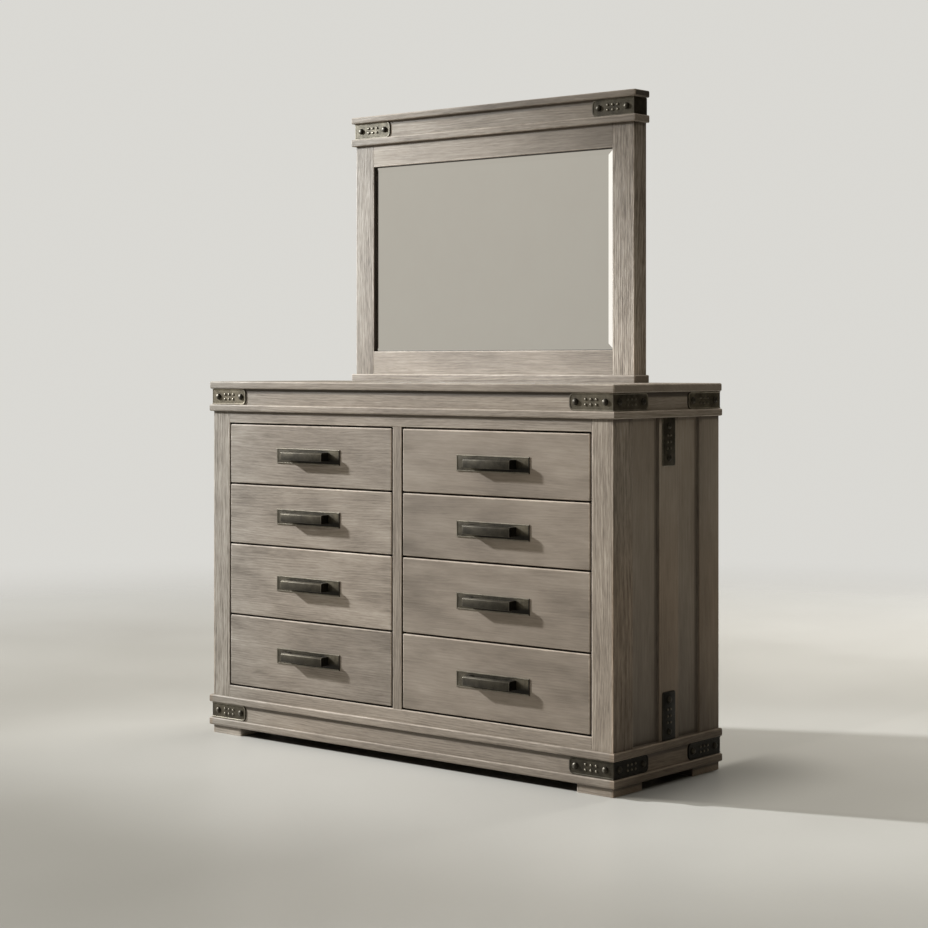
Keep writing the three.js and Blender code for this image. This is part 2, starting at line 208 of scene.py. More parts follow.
def board(sh, x0, x1, y0, y1, z0, z1, grain, seed, r=2.0, joints=(), contrast=1.0, spread=0.05, mat=0, seg=3, level=1.0, wear=None, shade_joints=(), gap=None, slope=(1.0, 1.0), tint=None):
    """A straight board. joints names the faces that meet another board, such as "-x"; those also in the list of shaded
    joints still count as edges, so that a band of painted shade runs along them.
    """
    poly = [(x0, y0), (x1, y0), (x1, y1), (x0, y1)]
    bm = prism(poly, "z", z0, z1, r, seg, {SIDES[j] for j in joints})
    if gap:
        cut(bm, "y", YF + 4.1)
    if tint:
        cut(bm, "x", (x0 + x1) / 2)
    lo = [x0, y0, z0]
    hi = [x1, y1, z1]
    for j in joints:
        if j in shade_joints:
            continue
        k = "xyz".index(j[1])
        if j[0] == "-":
            lo[k] -= FAR
        else:
            hi[k] += FAR
    sh.take(bm, grain, lo, hi, tone(seed, contrast, spread, level), offset(seed), mat=mat, wear=wear, tint=painted_gap_shade(gap, x0, x1, slope) if gap else tint)


def mitred_ring(sh, x0, x1, y0, y1, w, z0, z1, seed, r=0.0, contrast=0.9, g=0.12, seg=4, wear=None, tint=None):
    """Four boards round a rectangle, mitred at its corners, with a hairline at each joint."""
    polys = [
        ("x", [(x0 + g, y0), (x1 - g, y0), (x1 - w - g, y0 + w), (x0 + w + g, y0 + w)]),
        ("y", [(x1, y0 + g), (x1, y1 - g), (x1 - w, y1 - w - g), (x1 - w, y0 + w + g)]),
        ("x", [(x1 - g, y1), (x0 + g, y1), (x0 + w + g, y1 - w), (x1 - w - g, y1 - w)]),
        ("y", [(x0, y1 - g), (x0, y0 + g), (x0 + w, y0 + w + g), (x0 + w, y1 - w - g)]),
    ]
    for i, (grain, poly) in enumerate(polys):
        bm = prism(poly, "z", z0, z1, r, seg, {1, 2, 3})
        if grain == "x":
            lo, hi = [-FAR, y0 if i == 0 else -FAR, z0], [FAR, FAR if i == 0 else y1, z1]
        else:
            lo, hi = [x0 if i == 3 else -FAR, -FAR, z0], [FAR if i == 3 else x1, FAR, z1]
        if r == 0:
            lo[2], hi[2] = -FAR, z1
        sh.take(bm, grain, lo, hi, tone(seed + i, contrast), offset(seed + i), wear=wear, tint=(lambda co: tint(i, co)) if tint else None)


def dome_bm(c, axis, sign, r, h, segs, rings, collar=0.0):
    """A rivet head: centre c on its plate, pointing along sign*axis, with a short upright collar."""
    bm = bmesh.new()

    def at(a, b, o):
        if axis == "y":
            return (c[0] + a, c[1] + sign * o, c[2] + b)
        if axis == "x":
            return (c[0] + sign * o, c[1] + a, c[2] + b)
        return (c[0] + a, c[1] + b, c[2] + sign * o)

    levels = [(r, -0.6), (r, collar)]
    for k in range(1, rings + 1):
        t = k / (rings + 1) * math.pi / 2
        levels.append((r * math.cos(t), collar + (h - collar) * math.sin(t)))
    loops = [[bm.verts.new(at(rr * math.cos(2 * math.pi * i / segs), rr * math.sin(2 * math.pi * i / segs), o)) for i in range(segs)] for rr, o in levels]
    top = bm.verts.new(at(0, 0, h))
    for a, b in zip(loops, loops[1:]):
        for i in range(segs):
            j = (i + 1) % segs
            bm.faces.new((a[i], a[j], b[j], b[i]))
    for i in range(segs):
        bm.faces.new((loops[-1][i], loops[-1][(i + 1) % segs], top))
    bm.faces.new(loops[0][::-1])
    bmesh.ops.recalc_face_normals(bm, faces=bm.faces[:])
    return bm


def dome(sh, c, axis, sign, r, h, segs=24, rings=5, seed=1, mat=0, collar=0.4):
    k = {"x": 0, "y": 1, "z": 2}[axis]
    lo, hi = [-FAR] * 3, [FAR] * 3
    big = r > 6

    def rubbed(co):
        # Small studs are rubbed bright all over. Big heads get a painted highlight only on their left side, where the
        # key light falls, and all heads on the case's sides are kept darker as painted shade.
        up = max(0.0, sign * (co[k] - c[k]) / h)
        if axis == "x":
            return up ** 2 * (0.15 if big else 0.45)
        return up * min(1.0, max(0.0, 0.35 - 0.9 * (co[0] - c[0]) / r)) if big else up ** 2

    sh.take(dome_bm(c, axis, sign, r, h, segs, rings, collar), "x", lo, hi, (0.55 if big else 1.0, 1.0, 0.0), offset(seed), smooth=True, mat=mat, wear=rubbed)


def screw(sh, c, axis, sign, r=4.0, seed=1):
    """A small pan-head screw with a cross in it."""
    dome(sh, c, axis, sign, r, 1.6, 16, 3, seed)
    k = {"x": 0, "y": 1, "z": 2}[axis]
    # The cross is a dark bar standing just proud of the head: painted shade for the recess of a cross slot.
    for turn in (0.35, 0.35 + math.pi / 2):
        bm = bmesh.new()
        ca, sa = math.cos(turn), math.sin(turn)
        low, high = [], []
        for a, b in ((-r * 0.55, -0.45), (r * 0.55, -0.45), (r * 0.55, 0.45), (-r * 0.55, 0.45)):
            p, q = a * ca - b * sa, a * sa + b * ca
            for o, into in ((0.8, low), (1.75, high)):
                v = [0.0, 0.0, 0.0]
                m, n = [i for i in range(3) if i != k]
                v[m], v[n], v[k] = c[m] + p, c[n] + q, c[k] + sign * o
                into.append(bm.verts.new(v))
        bm.faces.new(low[::-1])
        bm.faces.new(high)
        for i in range(4):
            j = (i + 1) % 4
            bm.faces.new((low[i], low[j], high[j], high[i]))
        bmesh.ops.recalc_face_normals(bm, faces=bm.faces[:])
        sh.take(bm, "x", [-FAR] * 3, [FAR] * 3, (0.25, 1.0, 0.0), offset(seed + 5), mat=0)


# ---- materials --------------------------------------------------------------
class Net:
    """Short calls for building a node tree."""

    def __init__(self, tree):
        self.nodes, self.links = tree.nodes, tree.links

    def node(self, kind, **props):
        n = self.nodes.new(kind)
        for k, v in props.items():
            setattr(n, k, v)
        return n

    def put(self, socket, value):
        if isinstance(value, bpy.types.NodeSocket):
            self.links.new(value, socket)
        elif value is not None:
            socket.default_value = value

    def math(self, op, a, b=None, c=None, clamp=False):
        n = self.node("ShaderNodeMath", operation=op, use_clamp=clamp)
        for s, v in zip(n.inputs, (a, b, c)):
            self.put(s, v)
        return n.outputs[0]

    def vmath(self, op, a, b=None):
        n = self.node("ShaderNodeVectorMath", operation=op)
        self.put(n.inputs[0], a)
        self.put(n.inputs[1], b)
        return n.outputs["Value"] if op in ("DOT_PRODUCT", "LENGTH", "DISTANCE") else n.outputs["Vector"]

    def noise(self, vec, scale, detail=2.0, rough=0.5, distort=0.0, out="Fac"):
        n = self.node("ShaderNodeTexNoise")
        self.put(n.inputs["Vector"], vec)
        n.inputs["Scale"].default_value = scale
        n.inputs["Detail"].default_value = detail
        n.inputs["Roughness"].default_value = rough
        n.inputs["Distortion"].default_value = distort
        return n.outputs[out]

    def span(self, v, a, b, c=0.0, d=1.0, smooth=False):
        n = self.node("ShaderNodeMapRange", interpolation_type="SMOOTHSTEP" if smooth else "LINEAR")
        self.put(n.inputs[0], v)
        for i, x in enumerate((a, b, c, d)):
            self.put(n.inputs[i + 1], x)
        return n.outputs[0]

    def ramp(self, fac, stops):
        n = self.node("ShaderNodeValToRGB")
        e = n.color_ramp.elements
        while len(e) < len(stops):
            e.new(0.5)
        for k, (at, col) in zip(e, stops):
            k.position = at
            k.color = (*col, 1.0)
        self.put(n.inputs[0], fac)
        return n.outputs[0]

    def mix(self, fac, a, b, blend="MIX"):
        n = self.node("ShaderNodeMix", data_type="RGBA", blend_type=blend)
        self.put(n.inputs["Factor"], fac)
        self.put(n.inputs[6], a if isinstance(a, bpy.types.NodeSocket) else (*a, 1.0))
        self.put(n.inputs[7], b if isinstance(b, bpy.types.NodeSocket) else (*b, 1.0))
        return n.outputs[2]

    def attr(self, name):
        return self.node("ShaderNodeAttribute", attribute_name=name).outputs["Vector"]

    def xyz(self, v):
        n = self.node("ShaderNodeSeparateXYZ")
        self.put(n.inputs[0], v)
        return n.outputs

    def vec(self, x, y, z):
        n = self.node("ShaderNodeCombineXYZ")
        for s, v in zip(n.inputs, (x, y, z)):
            self.put(s, v)
        return n.outputs[0]

    def bump(self, height, strength, distance):
        n = self.node("ShaderNodeBump")
        n.inputs["Strength"].default_value = strength
        n.inputs["Distance"].default_value = distance
        self.put(n.inputs["Height"], height)
        return n.outputs[0]


def material(name):
    m = bpy.data.materials.new(name)
    m.use_nodes = True
    net = Net(m.node_tree)
    return m, net, m.node_tree.nodes["Principled BSDF"]


def edge_distance(net):
    """Distance to the nearest edge of the board, from its attributes: the middle one of the three distances to its faces."""
    near = net.vmath("MINIMUM", net.attr("elo"), net.attr("ehi"))
    a, b, c = net.xyz(near)
    return net.math("MAXIMUM", net.math("MINIMUM", a, b), net.math("MINIMUM", net.math("MAXIMUM", a, b), c))


def wood(name, dark, mid, light, depth=1.0, wear=1.5, rough=(0.5, 0.68), figure=1.0, reach=0.0042, ring=0.0075, broad=1.0, grey=0.0, brown=0.0):
    """Wire-brushed wood. gc runs along the grain in X; q counts growth rings across it, and the fibres follow q."""
    m, net, bsdf = material(name)
    gc = net.attr("gc")
    wp = net.xyz(net.attr("wp"))
    along, a, b = net.xyz(gc)
    slow = net.noise(net.vmath("MULTIPLY", gc, (0.75, 3.4, 3.4)), 1.0, 1.5, 0.45)
    wander = net.noise(net.vmath("MULTIPLY", gc, (5.5, 30.0, 30.0)), 1.0, 2.0, 0.55)
    q = net.math("ADD", net.math("MULTIPLY", a, 1.0 / ring), net.math("MULTIPLY", b, 0.6 / ring))
    q = net.math("ADD", q, net.math("MULTIPLY", slow, 0.10 * figure / ring))
    q = net.math("ADD", q, net.math("MULTIPLY", wander, 1.1))
    part = net.math("FRACT", q)
    late = net.math("MULTIPLY", net.math("POWER", part, 2.2), net.span(part, 1.0, 0.86, 0.0, 1.0, smooth=True))
    swing = net.noise(net.vec(net.math("MULTIPLY", along, 1.6), net.math("MULTIPLY", q, 0.20), net.math("MULTIPLY", b, 12.0)), 1.0, 2.0, 0.5)
    streak = net.noise(net.vec(net.math("MULTIPLY", along, 9.0), net.math("MULTIPLY", q, 1.3), net.math("MULTIPLY", b, 60.0)), 1.0, 3.0, 0.6)
    fibre = net.noise(net.vec(net.math("MULTIPLY", along, 34.0), net.math("MULTIPLY", q, 4.0), net.math("MULTIPLY", b, 240.0)), 1.0, 2.0, 0.55)
    pore = net.span(net.noise(net.vec(net.math("MULTIPLY", along, 30.0), net.math("MULTIPLY", q, 5.2), net.math("MULTIPLY", b, 420.0)), 1.0, 1.0, 0.5), 0.60, 0.76)
    cloud = net.noise(net.vmath("MULTIPLY", gc, (3.2, 8.0, 8.0)), 1.0, 2.0, 0.55)
    patch = net.noise(net.vmath("MULTIPLY", gc, (9.0, 30.0, 30.0)), 1.0, 2.0, 0.5)
    t = net.math("MULTIPLY", net.math("SUBTRACT", streak, 0.5), 0.85)
    t = net.math("ADD", t, net.math("MULTIPLY", net.math("SUBTRACT", fibre, 0.5), 0.70))
    t = net.math("ADD", t, net.math("MULTIPLY", net.math("SUBTRACT", swing, 0.5), 0.42))
    t = net.math("SUBTRACT", t, net.math("MULTIPLY", net.math("SUBTRACT", late, 0.2), net.span(swing, 0.3, 0.7, 0.04, 0.34)))
    t = net.math("MULTIPLY", t, wp[1])
    t = net.math("ADD", t, net.math("MULTIPLY", net.math("SUBTRACT", cloud, 0.5), 0.75 * broad))
    t = net.math("ADD", t, net.math("MULTIPLY", net.math("SUBTRACT", patch, 0.5), 0.38 * broad))
    t = net.math("ADD", t, 0.5, clamp=True)
    col = net.ramp(t, [(0.08, dark), (0.5, mid), (0.92, light)])
    col = net.mix(net.math("MULTIPLY", pore, net.math("MULTIPLY", wp[1], 0.30)), col, tuple(c * 0.6 for c in dark))
    # End grain is darker and quieter.
    ends = net.node("ShaderNodeAttribute", attribute_name="endg").outputs["Fac"]
    col = net.mix(net.math("MULTIPLY", ends, 0.6), col, tuple(c * 0.8 for c in mid))
    tint = net.math("MULTIPLY", wp[0], net.span(cloud, 0.3, 0.7, 0.97, 1.03))
    # Painted light colour: greyer at the left end of the piece, where the cool key light falls, browner towards the
    # right, and warmer low down on the sides, where the shade deepens.
    px, _, pz = net.xyz(net.node("ShaderNodeTexCoord").outputs["Object"])
    cool = net.span(px, -0.76, -0.36, grey, 0.0, smooth=True)
    warm = net.span(px, 0.0, 0.35, 0.0, brown, smooth=True)
    deep = net.math("MULTIPLY", net.span(net.math("ABSOLUTE", px), 0.742, 0.748, 0.0, 0.15), net.span(pz, 0.85, 0.45, 0.0, 1.0, smooth=True))
    hue = net.math("SUBTRACT", net.math("SUBTRACT", cool, warm), deep)
    col = net.mix(1.0, col, net.vec(tint, net.math("MULTIPLY", tint, net.math("ADD", 1.0, net.math("MULTIPLY", hue, 0.5))), net.math("MULTIPLY", tint, net.math("ADD", 1.0, hue))), "MULTIPLY")
    # Edges rubbed lighter, unevenly, which on the top edges is also painted highlight; where wp.z is below zero, a dark
    # band along the edges is painted shade under overhangs and in recesses.
    d = edge_distance(net)
    rub = net.noise(net.vmath("MULTIPLY", gc, (38.0, 90.0, 90.0)), 1.0, 3.0, 0.6)
    near = net.math("ADD", d, net.math("MULTIPLY", net.math("SUBTRACT", rub, 0.5), 0.005))
    worn = net.span(near, reach, 0.0006, 0.0, 1.0, smooth=True)
    worn = net.math("MULTIPLY", worn, net.math("ADD", 0.8, net.math("MULTIPLY", wp[2], 0.8), clamp=True))
    col = net.mix(worn, col, net.mix(1.0, col, (wear, wear * 1.015, wear * 1.04), "MULTIPLY"))
    band = net.math("ADD", net.math("MULTIPLY", wp[2], -0.0125), 0.0045)
    painted_edge_shade = net.math("MULTIPLY", net.span(d, band, net.math("MULTIPLY", band, 0.5), 0.0, 1.0, smooth=True), net.math("MULTIPLY", wp[2], -0.8), clamp=True)
    col = net.mix(painted_edge_shade, col, tuple(c * 0.5 for c in dark))
    net.put(bsdf.inputs["Base Color"], col)
    net.put(bsdf.inputs["Roughness"], net.span(streak, 0.3, 0.7, rough[1], rough[0]))
    bsdf.inputs["Specular IOR Level"].default_value = 0.32
    h = net.math("ADD", net.math("MULTIPLY", streak, 0.9), net.math("MULTIPLY", fibre, 0.7))
    h = net.math("SUBTRACT", h, net.math("MULTIPLY", late, 0.35))
    h = net.math("SUBTRACT", h, net.math("MULTIPLY", pore, 0.6))
    h = net.math("MULTIPLY", h, wp[1])
    net.put(bsdf.inputs["Normal"], net.bump(h, 0.5 * depth, 0.0009))
    return m


def metal(name, dark, mid, bright):
    """Dark cast metal with a patina, rubbed on its edges and rivet heads; on the big rivet heads the lighter side is a
    painted highlight.
    """
    m, net, bsdf = material(name)
    gc = net.attr("gc")
    wp = net.xyz(net.attr("wp"))
    big = net.noise(gc, 34.0, 3.0, 0.6)
    small = net.noise(gc, 420.0, 3.0, 0.65)
    pit = net.noise(gc, 1300.0, 2.0, 0.5)
    t = net.math("ADD", net.math("MULTIPLY", big, 0.62), net.math("MULTIPLY", small, 0.38))
    col = net.ramp(t, [(0.34, dark), (0.66, mid)])
    d = edge_distance(net)
    d = net.math("ADD", d, net.math("MULTIPLY", net.math("SUBTRACT", small, 0.5), 0.0012))
    worn = net.math("MAXIMUM", net.span(d, 0.0016, 0.0002, 0.0, 1.0, smooth=True), wp[2])
    worn = net.math("MULTIPLY", worn, net.span(big, 0.25, 0.7, 0.45, 1.0))
    col = net.mix(net.math("MULTIPLY", worn, 0.8), col, bright)
    col = net.mix(1.0, col, net.vec(wp[0], wp[0], wp[0]), "MULTIPLY")
    net.put(bsdf.inputs["Base Color"], col)
    bsdf.inputs["Metallic"].default_value = 0.8
    net.put(bsdf.inputs["Roughness"], net.math("SUBTRACT", net.span(small, 0.3, 0.7, 0.40, 0.56), net.math("MULTIPLY", worn, 0.10)))
    h = net.math("ADD", net.math("MULTIPLY", small, 0.7), net.math("MULTIPLY", pit, 0.3))
    net.put(bsdf.inputs["Normal"], net.bump(h, 0.3, 0.0008))
    return m


case_wood = wood("case_wood", (0.140, 0.113, 0.089), (0.272, 0.229, 0.186), (0.400, 0.346, 0.290), wear=1.7, reach=0.005, broad=0.6, grey=0.12)
front_wood = wood("front_wood", (0.150, 0.121, 0.094), (0.276, 0.232, 0.189), (0.390, 0.339, 0.285), depth=0.8, wear=2.1, reach=0.005, broad=1.2, grey=0.11, brown=0.025)
box_wood = wood("box_wood", (0.330, 0.235, 0.145), (0.500, 0.385, 0.255), (0.620, 0.500, 0.350), depth=0.5, wear=1.1, rough=(0.45, 0.6), figure=0.7)
back_wood = wood("back_wood", (0.120, 0.100, 0.080), (0.200, 0.170, 0.140), (0.270, 0.235, 0.200), depth=0.5, wear=1.15, rough=(0.6, 0.75), figure=0.8)
iron = metal("dark_metal", (0.025, 0.021, 0.0145), (0.087, 0.076, 0.055), (0.44, 0.40, 0.33))
screw_steel = metal("screw_steel", (0.16, 0.15, 0.14), (0.30, 0.29, 0.27), (0.5, 0.49, 0.47))


def mirror_material():
    m, net, bsdf = material("silvered_glass")
    tc = net.node("ShaderNodeTexCoord").outputs["Object"]
    haze = net.noise(tc, 9.0, 4.0, 0.6)
    specks = net.noise(tc, 160.0, 2.0, 0.5)
    gx, gy, gz = net.xyz(tc)
    # Painted reflection: the silvering darkens towards the right and downwards, standing in for the gradient in what
    # the mirror reflects.
    painted_reflection_fade = net.span(net.math("SUBTRACT", net.math("MULTIPLY", gx, 0.31), net.math("MULTIPLY", gz, 0.5)), -1.01, -0.44, 0.97, 0.875)
    net.put(bsdf.inputs["Base Color"], net.mix(1.0, net.ramp(haze, [(0.3, (0.985, 0.975, 0.965)), (0.7, (1.0, 0.995, 0.985))]), net.vec(painted_reflection_fade, painted_reflection_fade, painted_reflection_fade), "MULTIPLY"))
    bsdf.inputs["Metallic"].default_value = 1.0
    net.put(bsdf.inputs["Roughness"], net.math("ADD", net.span(haze, 0.35, 0.75, 0.006, 0.014), net.math("MULTIPLY", specks, 0.004)))
    return m


silver = mirror_material()

# ---- the case ---------------------------------------------------------------
sh = Shell()
cuts = [MY0, MY0 + 132, MY0 + 252, MY0 + 385, MY1]
for i, (a, b) in enumerate(zip(cuts, cuts[1:])):
    joints = [j for j, met in (("-y", i > 0), ("+y", i < 3)) if met]
    board(sh, -MX, MX, a + 0.06 * (i > 0), b - 0.06 * (i < 3), Z_FRZ, Z_TOP, "x", 11 + i, 4.0, joints, 0.65, 0.03, seg=4, wear=by_height(Z_FRZ + 11, 0.25, -0.2))
sh.piece("top_slab_planks", "carcass", [case_wood], ["top_slab"])

sh = Shell()
# Painted shadow: a dark band along the top of the frieze, under the slab; the ring also takes painted light.
mitred_ring(sh, -HX, HX, YF, YB, 20, Z_TOPM, Z_FRZ, 21, wear=by_height(Z_FRZ - 1, -1.38, -0.3), tint=ring_painted_light(0.92, 1.07, 1.17))
sh.piece("top_frieze_boards", "carcass", [case_wood], ["top_frieze"])

sh = Shell()
mitred_ring(sh, -MX, MX, MY0, MY1, 60, Z_RAIL, Z_TOPM, 31, 4.0, wear=quiet_sides(Z_RAIL + 10, 0.25, -0.2))
board(sh, -MX + 60.2, MX - 60.2, MY0 + 60.2, MY1 - 60.2, Z_RAIL + 1, Z_TOPM - 1, "x", 36, 0)
sh.piece("top_moulding_boards", "carcass", [case_wood], ["top_moulding"])

sh = Shell()
# Painted shade: the faces inside the drawer gaps are dark, and the top rail has a dark band under the moulding.
board(sh, -RAIL_X, RAIL_X, YF, YF + 22, Z_O1, Z_RAIL, "x", 41, 2.0, ["-x", "+x", "+z"], 0.95, wear=by_height(Z_RAIL - 1, -1.0, 0.0), shade_joints=["+z"], gap=0.16)
sh.piece("rail_top_board", "carcass", [case_wood], ["rail_top"])
sh = Shell()
board(sh, -RAIL_X, RAIL_X, YF, YF + 22, Z_B3, Z_O0, "x", 42, 2.0, ["-x", "+x", "-z"], 0.95, wear=by_height(Z_O0 - 8, 0.25, 0.0), gap=0.16)
sh.piece("rail_bottom_board", "carcass", [case_wood], ["rail_bottom"])

for side, s in (("right", 1), ("left", -1)):
    sh = Shell()
    seed = 50 if s > 0 else 70

    def across(*pts):
        return [(s * x, y) for x, y in pts]

    def upright(poly, lo, hi, k, r, joints, contrast=0.32, tint=None):
        bm = prism(poly, "z", Z_B3, Z_RAIL, r, 3, joints)
        for z in (330, 480, 650, 800, Z_RAIL - 20):
            cut(bm, "z", z)
        cut(bm, "y", YF + 4.1)
        sh.take(bm, "z", lo, hi[:2] + [Z_RAIL], tone(seed + k, contrast, 0.02), offset(seed + k), wear=worn, tint=tint or (lambda co: painted_side_shade(co[2], s)))

    # Painted shade: a dark band under the moulding at the top, and a faint one along the edges of the shaded side
    # faces.
    def worn(co):
        if co[2] > Z_RAIL - 1:
            return -1.0
        return -0.25 if abs(co[0]) > HX - 0.3 and co[1] > YF + 1.0 else 0.0

    # Painted light on the front corner post: its faces inside the drawer gaps dark as painted shade, its front lighter
    # where the light falls, and its side in the painted side shade.
    def post_painted_light(co):
        if co[1] > YF + 4.0 and abs(co[0]) < 700:
            return 0.16
        if co[1] < YF + 0.5:
            return 1.2 if s > 0 else 1.05
        return 0.95 * painted_side_shade(co[2], s)

    xs = sorted((s * (HX - 70), s * HX))
    # Front corner post: an L of face and side.
    upright(across((680, YF), (750, YF), (750, YF + POST), (726, YF + POST), (726, YF + 22), (680, YF + 22)),
            [xs[0], YF, -FAR], [xs[1], YF + POST, FAR], 0, 2.2, {"lo", "hi"}, 1.35 if s > 0 else 1.8,
            tint=post_painted_light)
    xs = sorted((s * 726, s * HX))
    upright(across((726, MID0), (750, MID0), (750, MID1), (726, MID1)), [xs[0], MID0, -FAR], [xs[1], MID1, FAR], 1, 2.0, {"lo", "hi"})
    # The rear post darkens towards the panel in front of it, as painted shade in the recess, on top of the painted side
    # shade.
    upright(across((726, YB - REAR_POST), (750, YB - REAR_POST), (750, YB), (726, YB)), [xs[0], YB - REAR_POST, -FAR], [xs[1], YB, FAR], 2, 2.2, {"lo", "hi"},
            tint=lambda co: painted_side_shade(co[2], s) * (0.8 + 0.26 * (co[1] - YB + REAR_POST) / REAR_POST))
    for k, (a, b) in enumerate(((YF + POST, MID0), (MID1, YB - REAR_POST))):
        xs = sorted((s * 726, s * 738))
        bm = prism(across((726, a), (738, a), (738, b), (726, b)), "z", Z_B3, Z_RAIL, 0.0)
        for z in (330, 480, 650, 800):
            cut(bm, "z", z)
        # Painted shade along the panel's edges where it meets the posts, and the painted side shade over it.
        sh.take(bm, "z", [xs[0], a, Z_B3], [xs[1], b, Z_RAIL], (0.98 + 0.06 * k, 0.32, -0.6), offset(seed + 3 + k), tint=lambda co: painted_side_shade(co[2], s))
        # Painted shade: a dark strip over the step from the panel up to the post behind it.
        bm = prism(across((738, b - 0.3), (748.4, b - 0.3), (748.4, b + 0.2), (738, b + 0.2)), "z", Z_B3, Z_RAIL, 0.0)
        sh.take(bm, "z", [-FAR] * 3, [FAR] * 3, (0.55, 1.0, 0.0), offset(seed + 5 + k))
    for k, (z, h, bh) in enumerate(ROWS):
        zb = z + BOX_LIFT
        for a, b, top in ((BOX_OUT - 20, BOX_OUT + 1.5, zb - 1), (BOX_OUT + 1.5, 726, zb + 16)):
            x0, x1 = sorted((s * a, s * b))
            board(sh, x0, x1, YF + 22.2, YF + 478, zb - 13, top, "y", seed + 10 + k, 1.0, (), 0.8, mat=1)
    sh.piece(f"side_{side}_boards", "carcass", [case_wood, box_wood], [f"side_{side}"])

sh = Shell()
# Painted shade: the mullion's faces inside the drawer gaps are dark.
board(sh, -16.5, 16.5, YF, YF + 22, Z_O0, Z_O1, "z", 91, 2.0, ["-z", "+z"], 1.25, level=0.95, gap=0.16)
board(sh, -9, 9, YF + 22.2, YF + 478, Z_B3, Z_RAIL, "z", 92, 0.0, (), 0.8, mat=1)
for k, (z, h, bh) in enumerate(ROWS):
    zb = z + BOX_LIFT
    for s in (-1, 1):
        x0, x1 = sorted((s * 31, s * 52.5))
        board(sh, x0, x1, YF + 22.2, YF + 478, zb - 13, zb - 1, "y", 93 + k, 1.0, (), 0.8, mat=1)
        x0, x1 = sorted((s * 9, s * 31))
        board(sh, x0, x1, YF + 22.2, YF + 478, zb - 13, zb + 16, "y", 98 + k, 1.0, (), 0.8, mat=1)
sh.piece("centre_divider_boards", "carcass", [case_wood, box_wood], ["centre_divider"])



# Base rings: painted light along the front and a much darker shaded right side.
sh = Shell()
mitred_ring(sh, -MX, MX, MY0, MY1, 60, Z_B2, Z_B3, 111, 4.5, wear=quiet_sides(Z_B2 + 11, 0.25, -0.2), tint=ring_painted_light(0.50, 1.0, 0.93))
board(sh, -MX + 60.2, MX - 60.2, MY0 + 60.2, MY1 - 60.2, Z_B2 + 1, Z_B3 - 1, "x", 116, 0, mat=1)
sh.piece("base_moulding_upper_boards", "carcass", [case_wood, box_wood], ["base_moulding_upper"])
sh = Shell()
# Painted shadow: a dark band along the top of the base frieze, under the moulding above.
mitred_ring(sh, -HX, HX, YF, YB, 20, Z_B1, Z_B2, 121, wear=by_height(Z_B2 - 1, -1.0, -0.3), tint=ring_painted_light(0.54, 1.10, 0.78))
sh.piece("base_frieze_boards", "carcass", [case_wood], ["base_frieze"])
sh = Shell()
mitred_ring(sh, -MX, MX, MY0, MY1, 29, Z_FOOT, Z_B1, 131, 4.0, wear=quiet_sides(Z_FOOT + 11, 0.0, -0.3), tint=ring_painted_light(0.47, 1.0, 0.76))
# Feet: the rear feet's faces inside the gap under the case are nearly black and the right-hand side faces darker, as
# painted shade; the front left foot is lighter, as painted light; the dark band at their tops is painted shade under
# the moulding.
for i, (sx, y0) in enumerate(((-1, YF), (1, YF), (-1, YB - 129), (1, YB - 129))):
    x0, x1 = sorted((sx * HX, sx * (HX - 118)))
    board(sh, x0, x1, y0, y0 + 129, 0.0, Z_FOOT, "x", 136 + i, 2.5, ["+z"], 0.9, level=1.5 if i == 0 else 1.1, wear=by_height(Z_FOOT - 1, -1.0, 0.0), shade_joints=["+z"],
          tint=lambda co: 0.2 if i > 1 and co[1] < y0 + 0.5 else (0.8 if co[0] > HX - 0.5 and co[1] > YF + 1.0 else 1.0))
sh.piece("base_moulding_lower_and_feet", "carcass", [case_wood], ["base_moulding_lower_with_feet"])

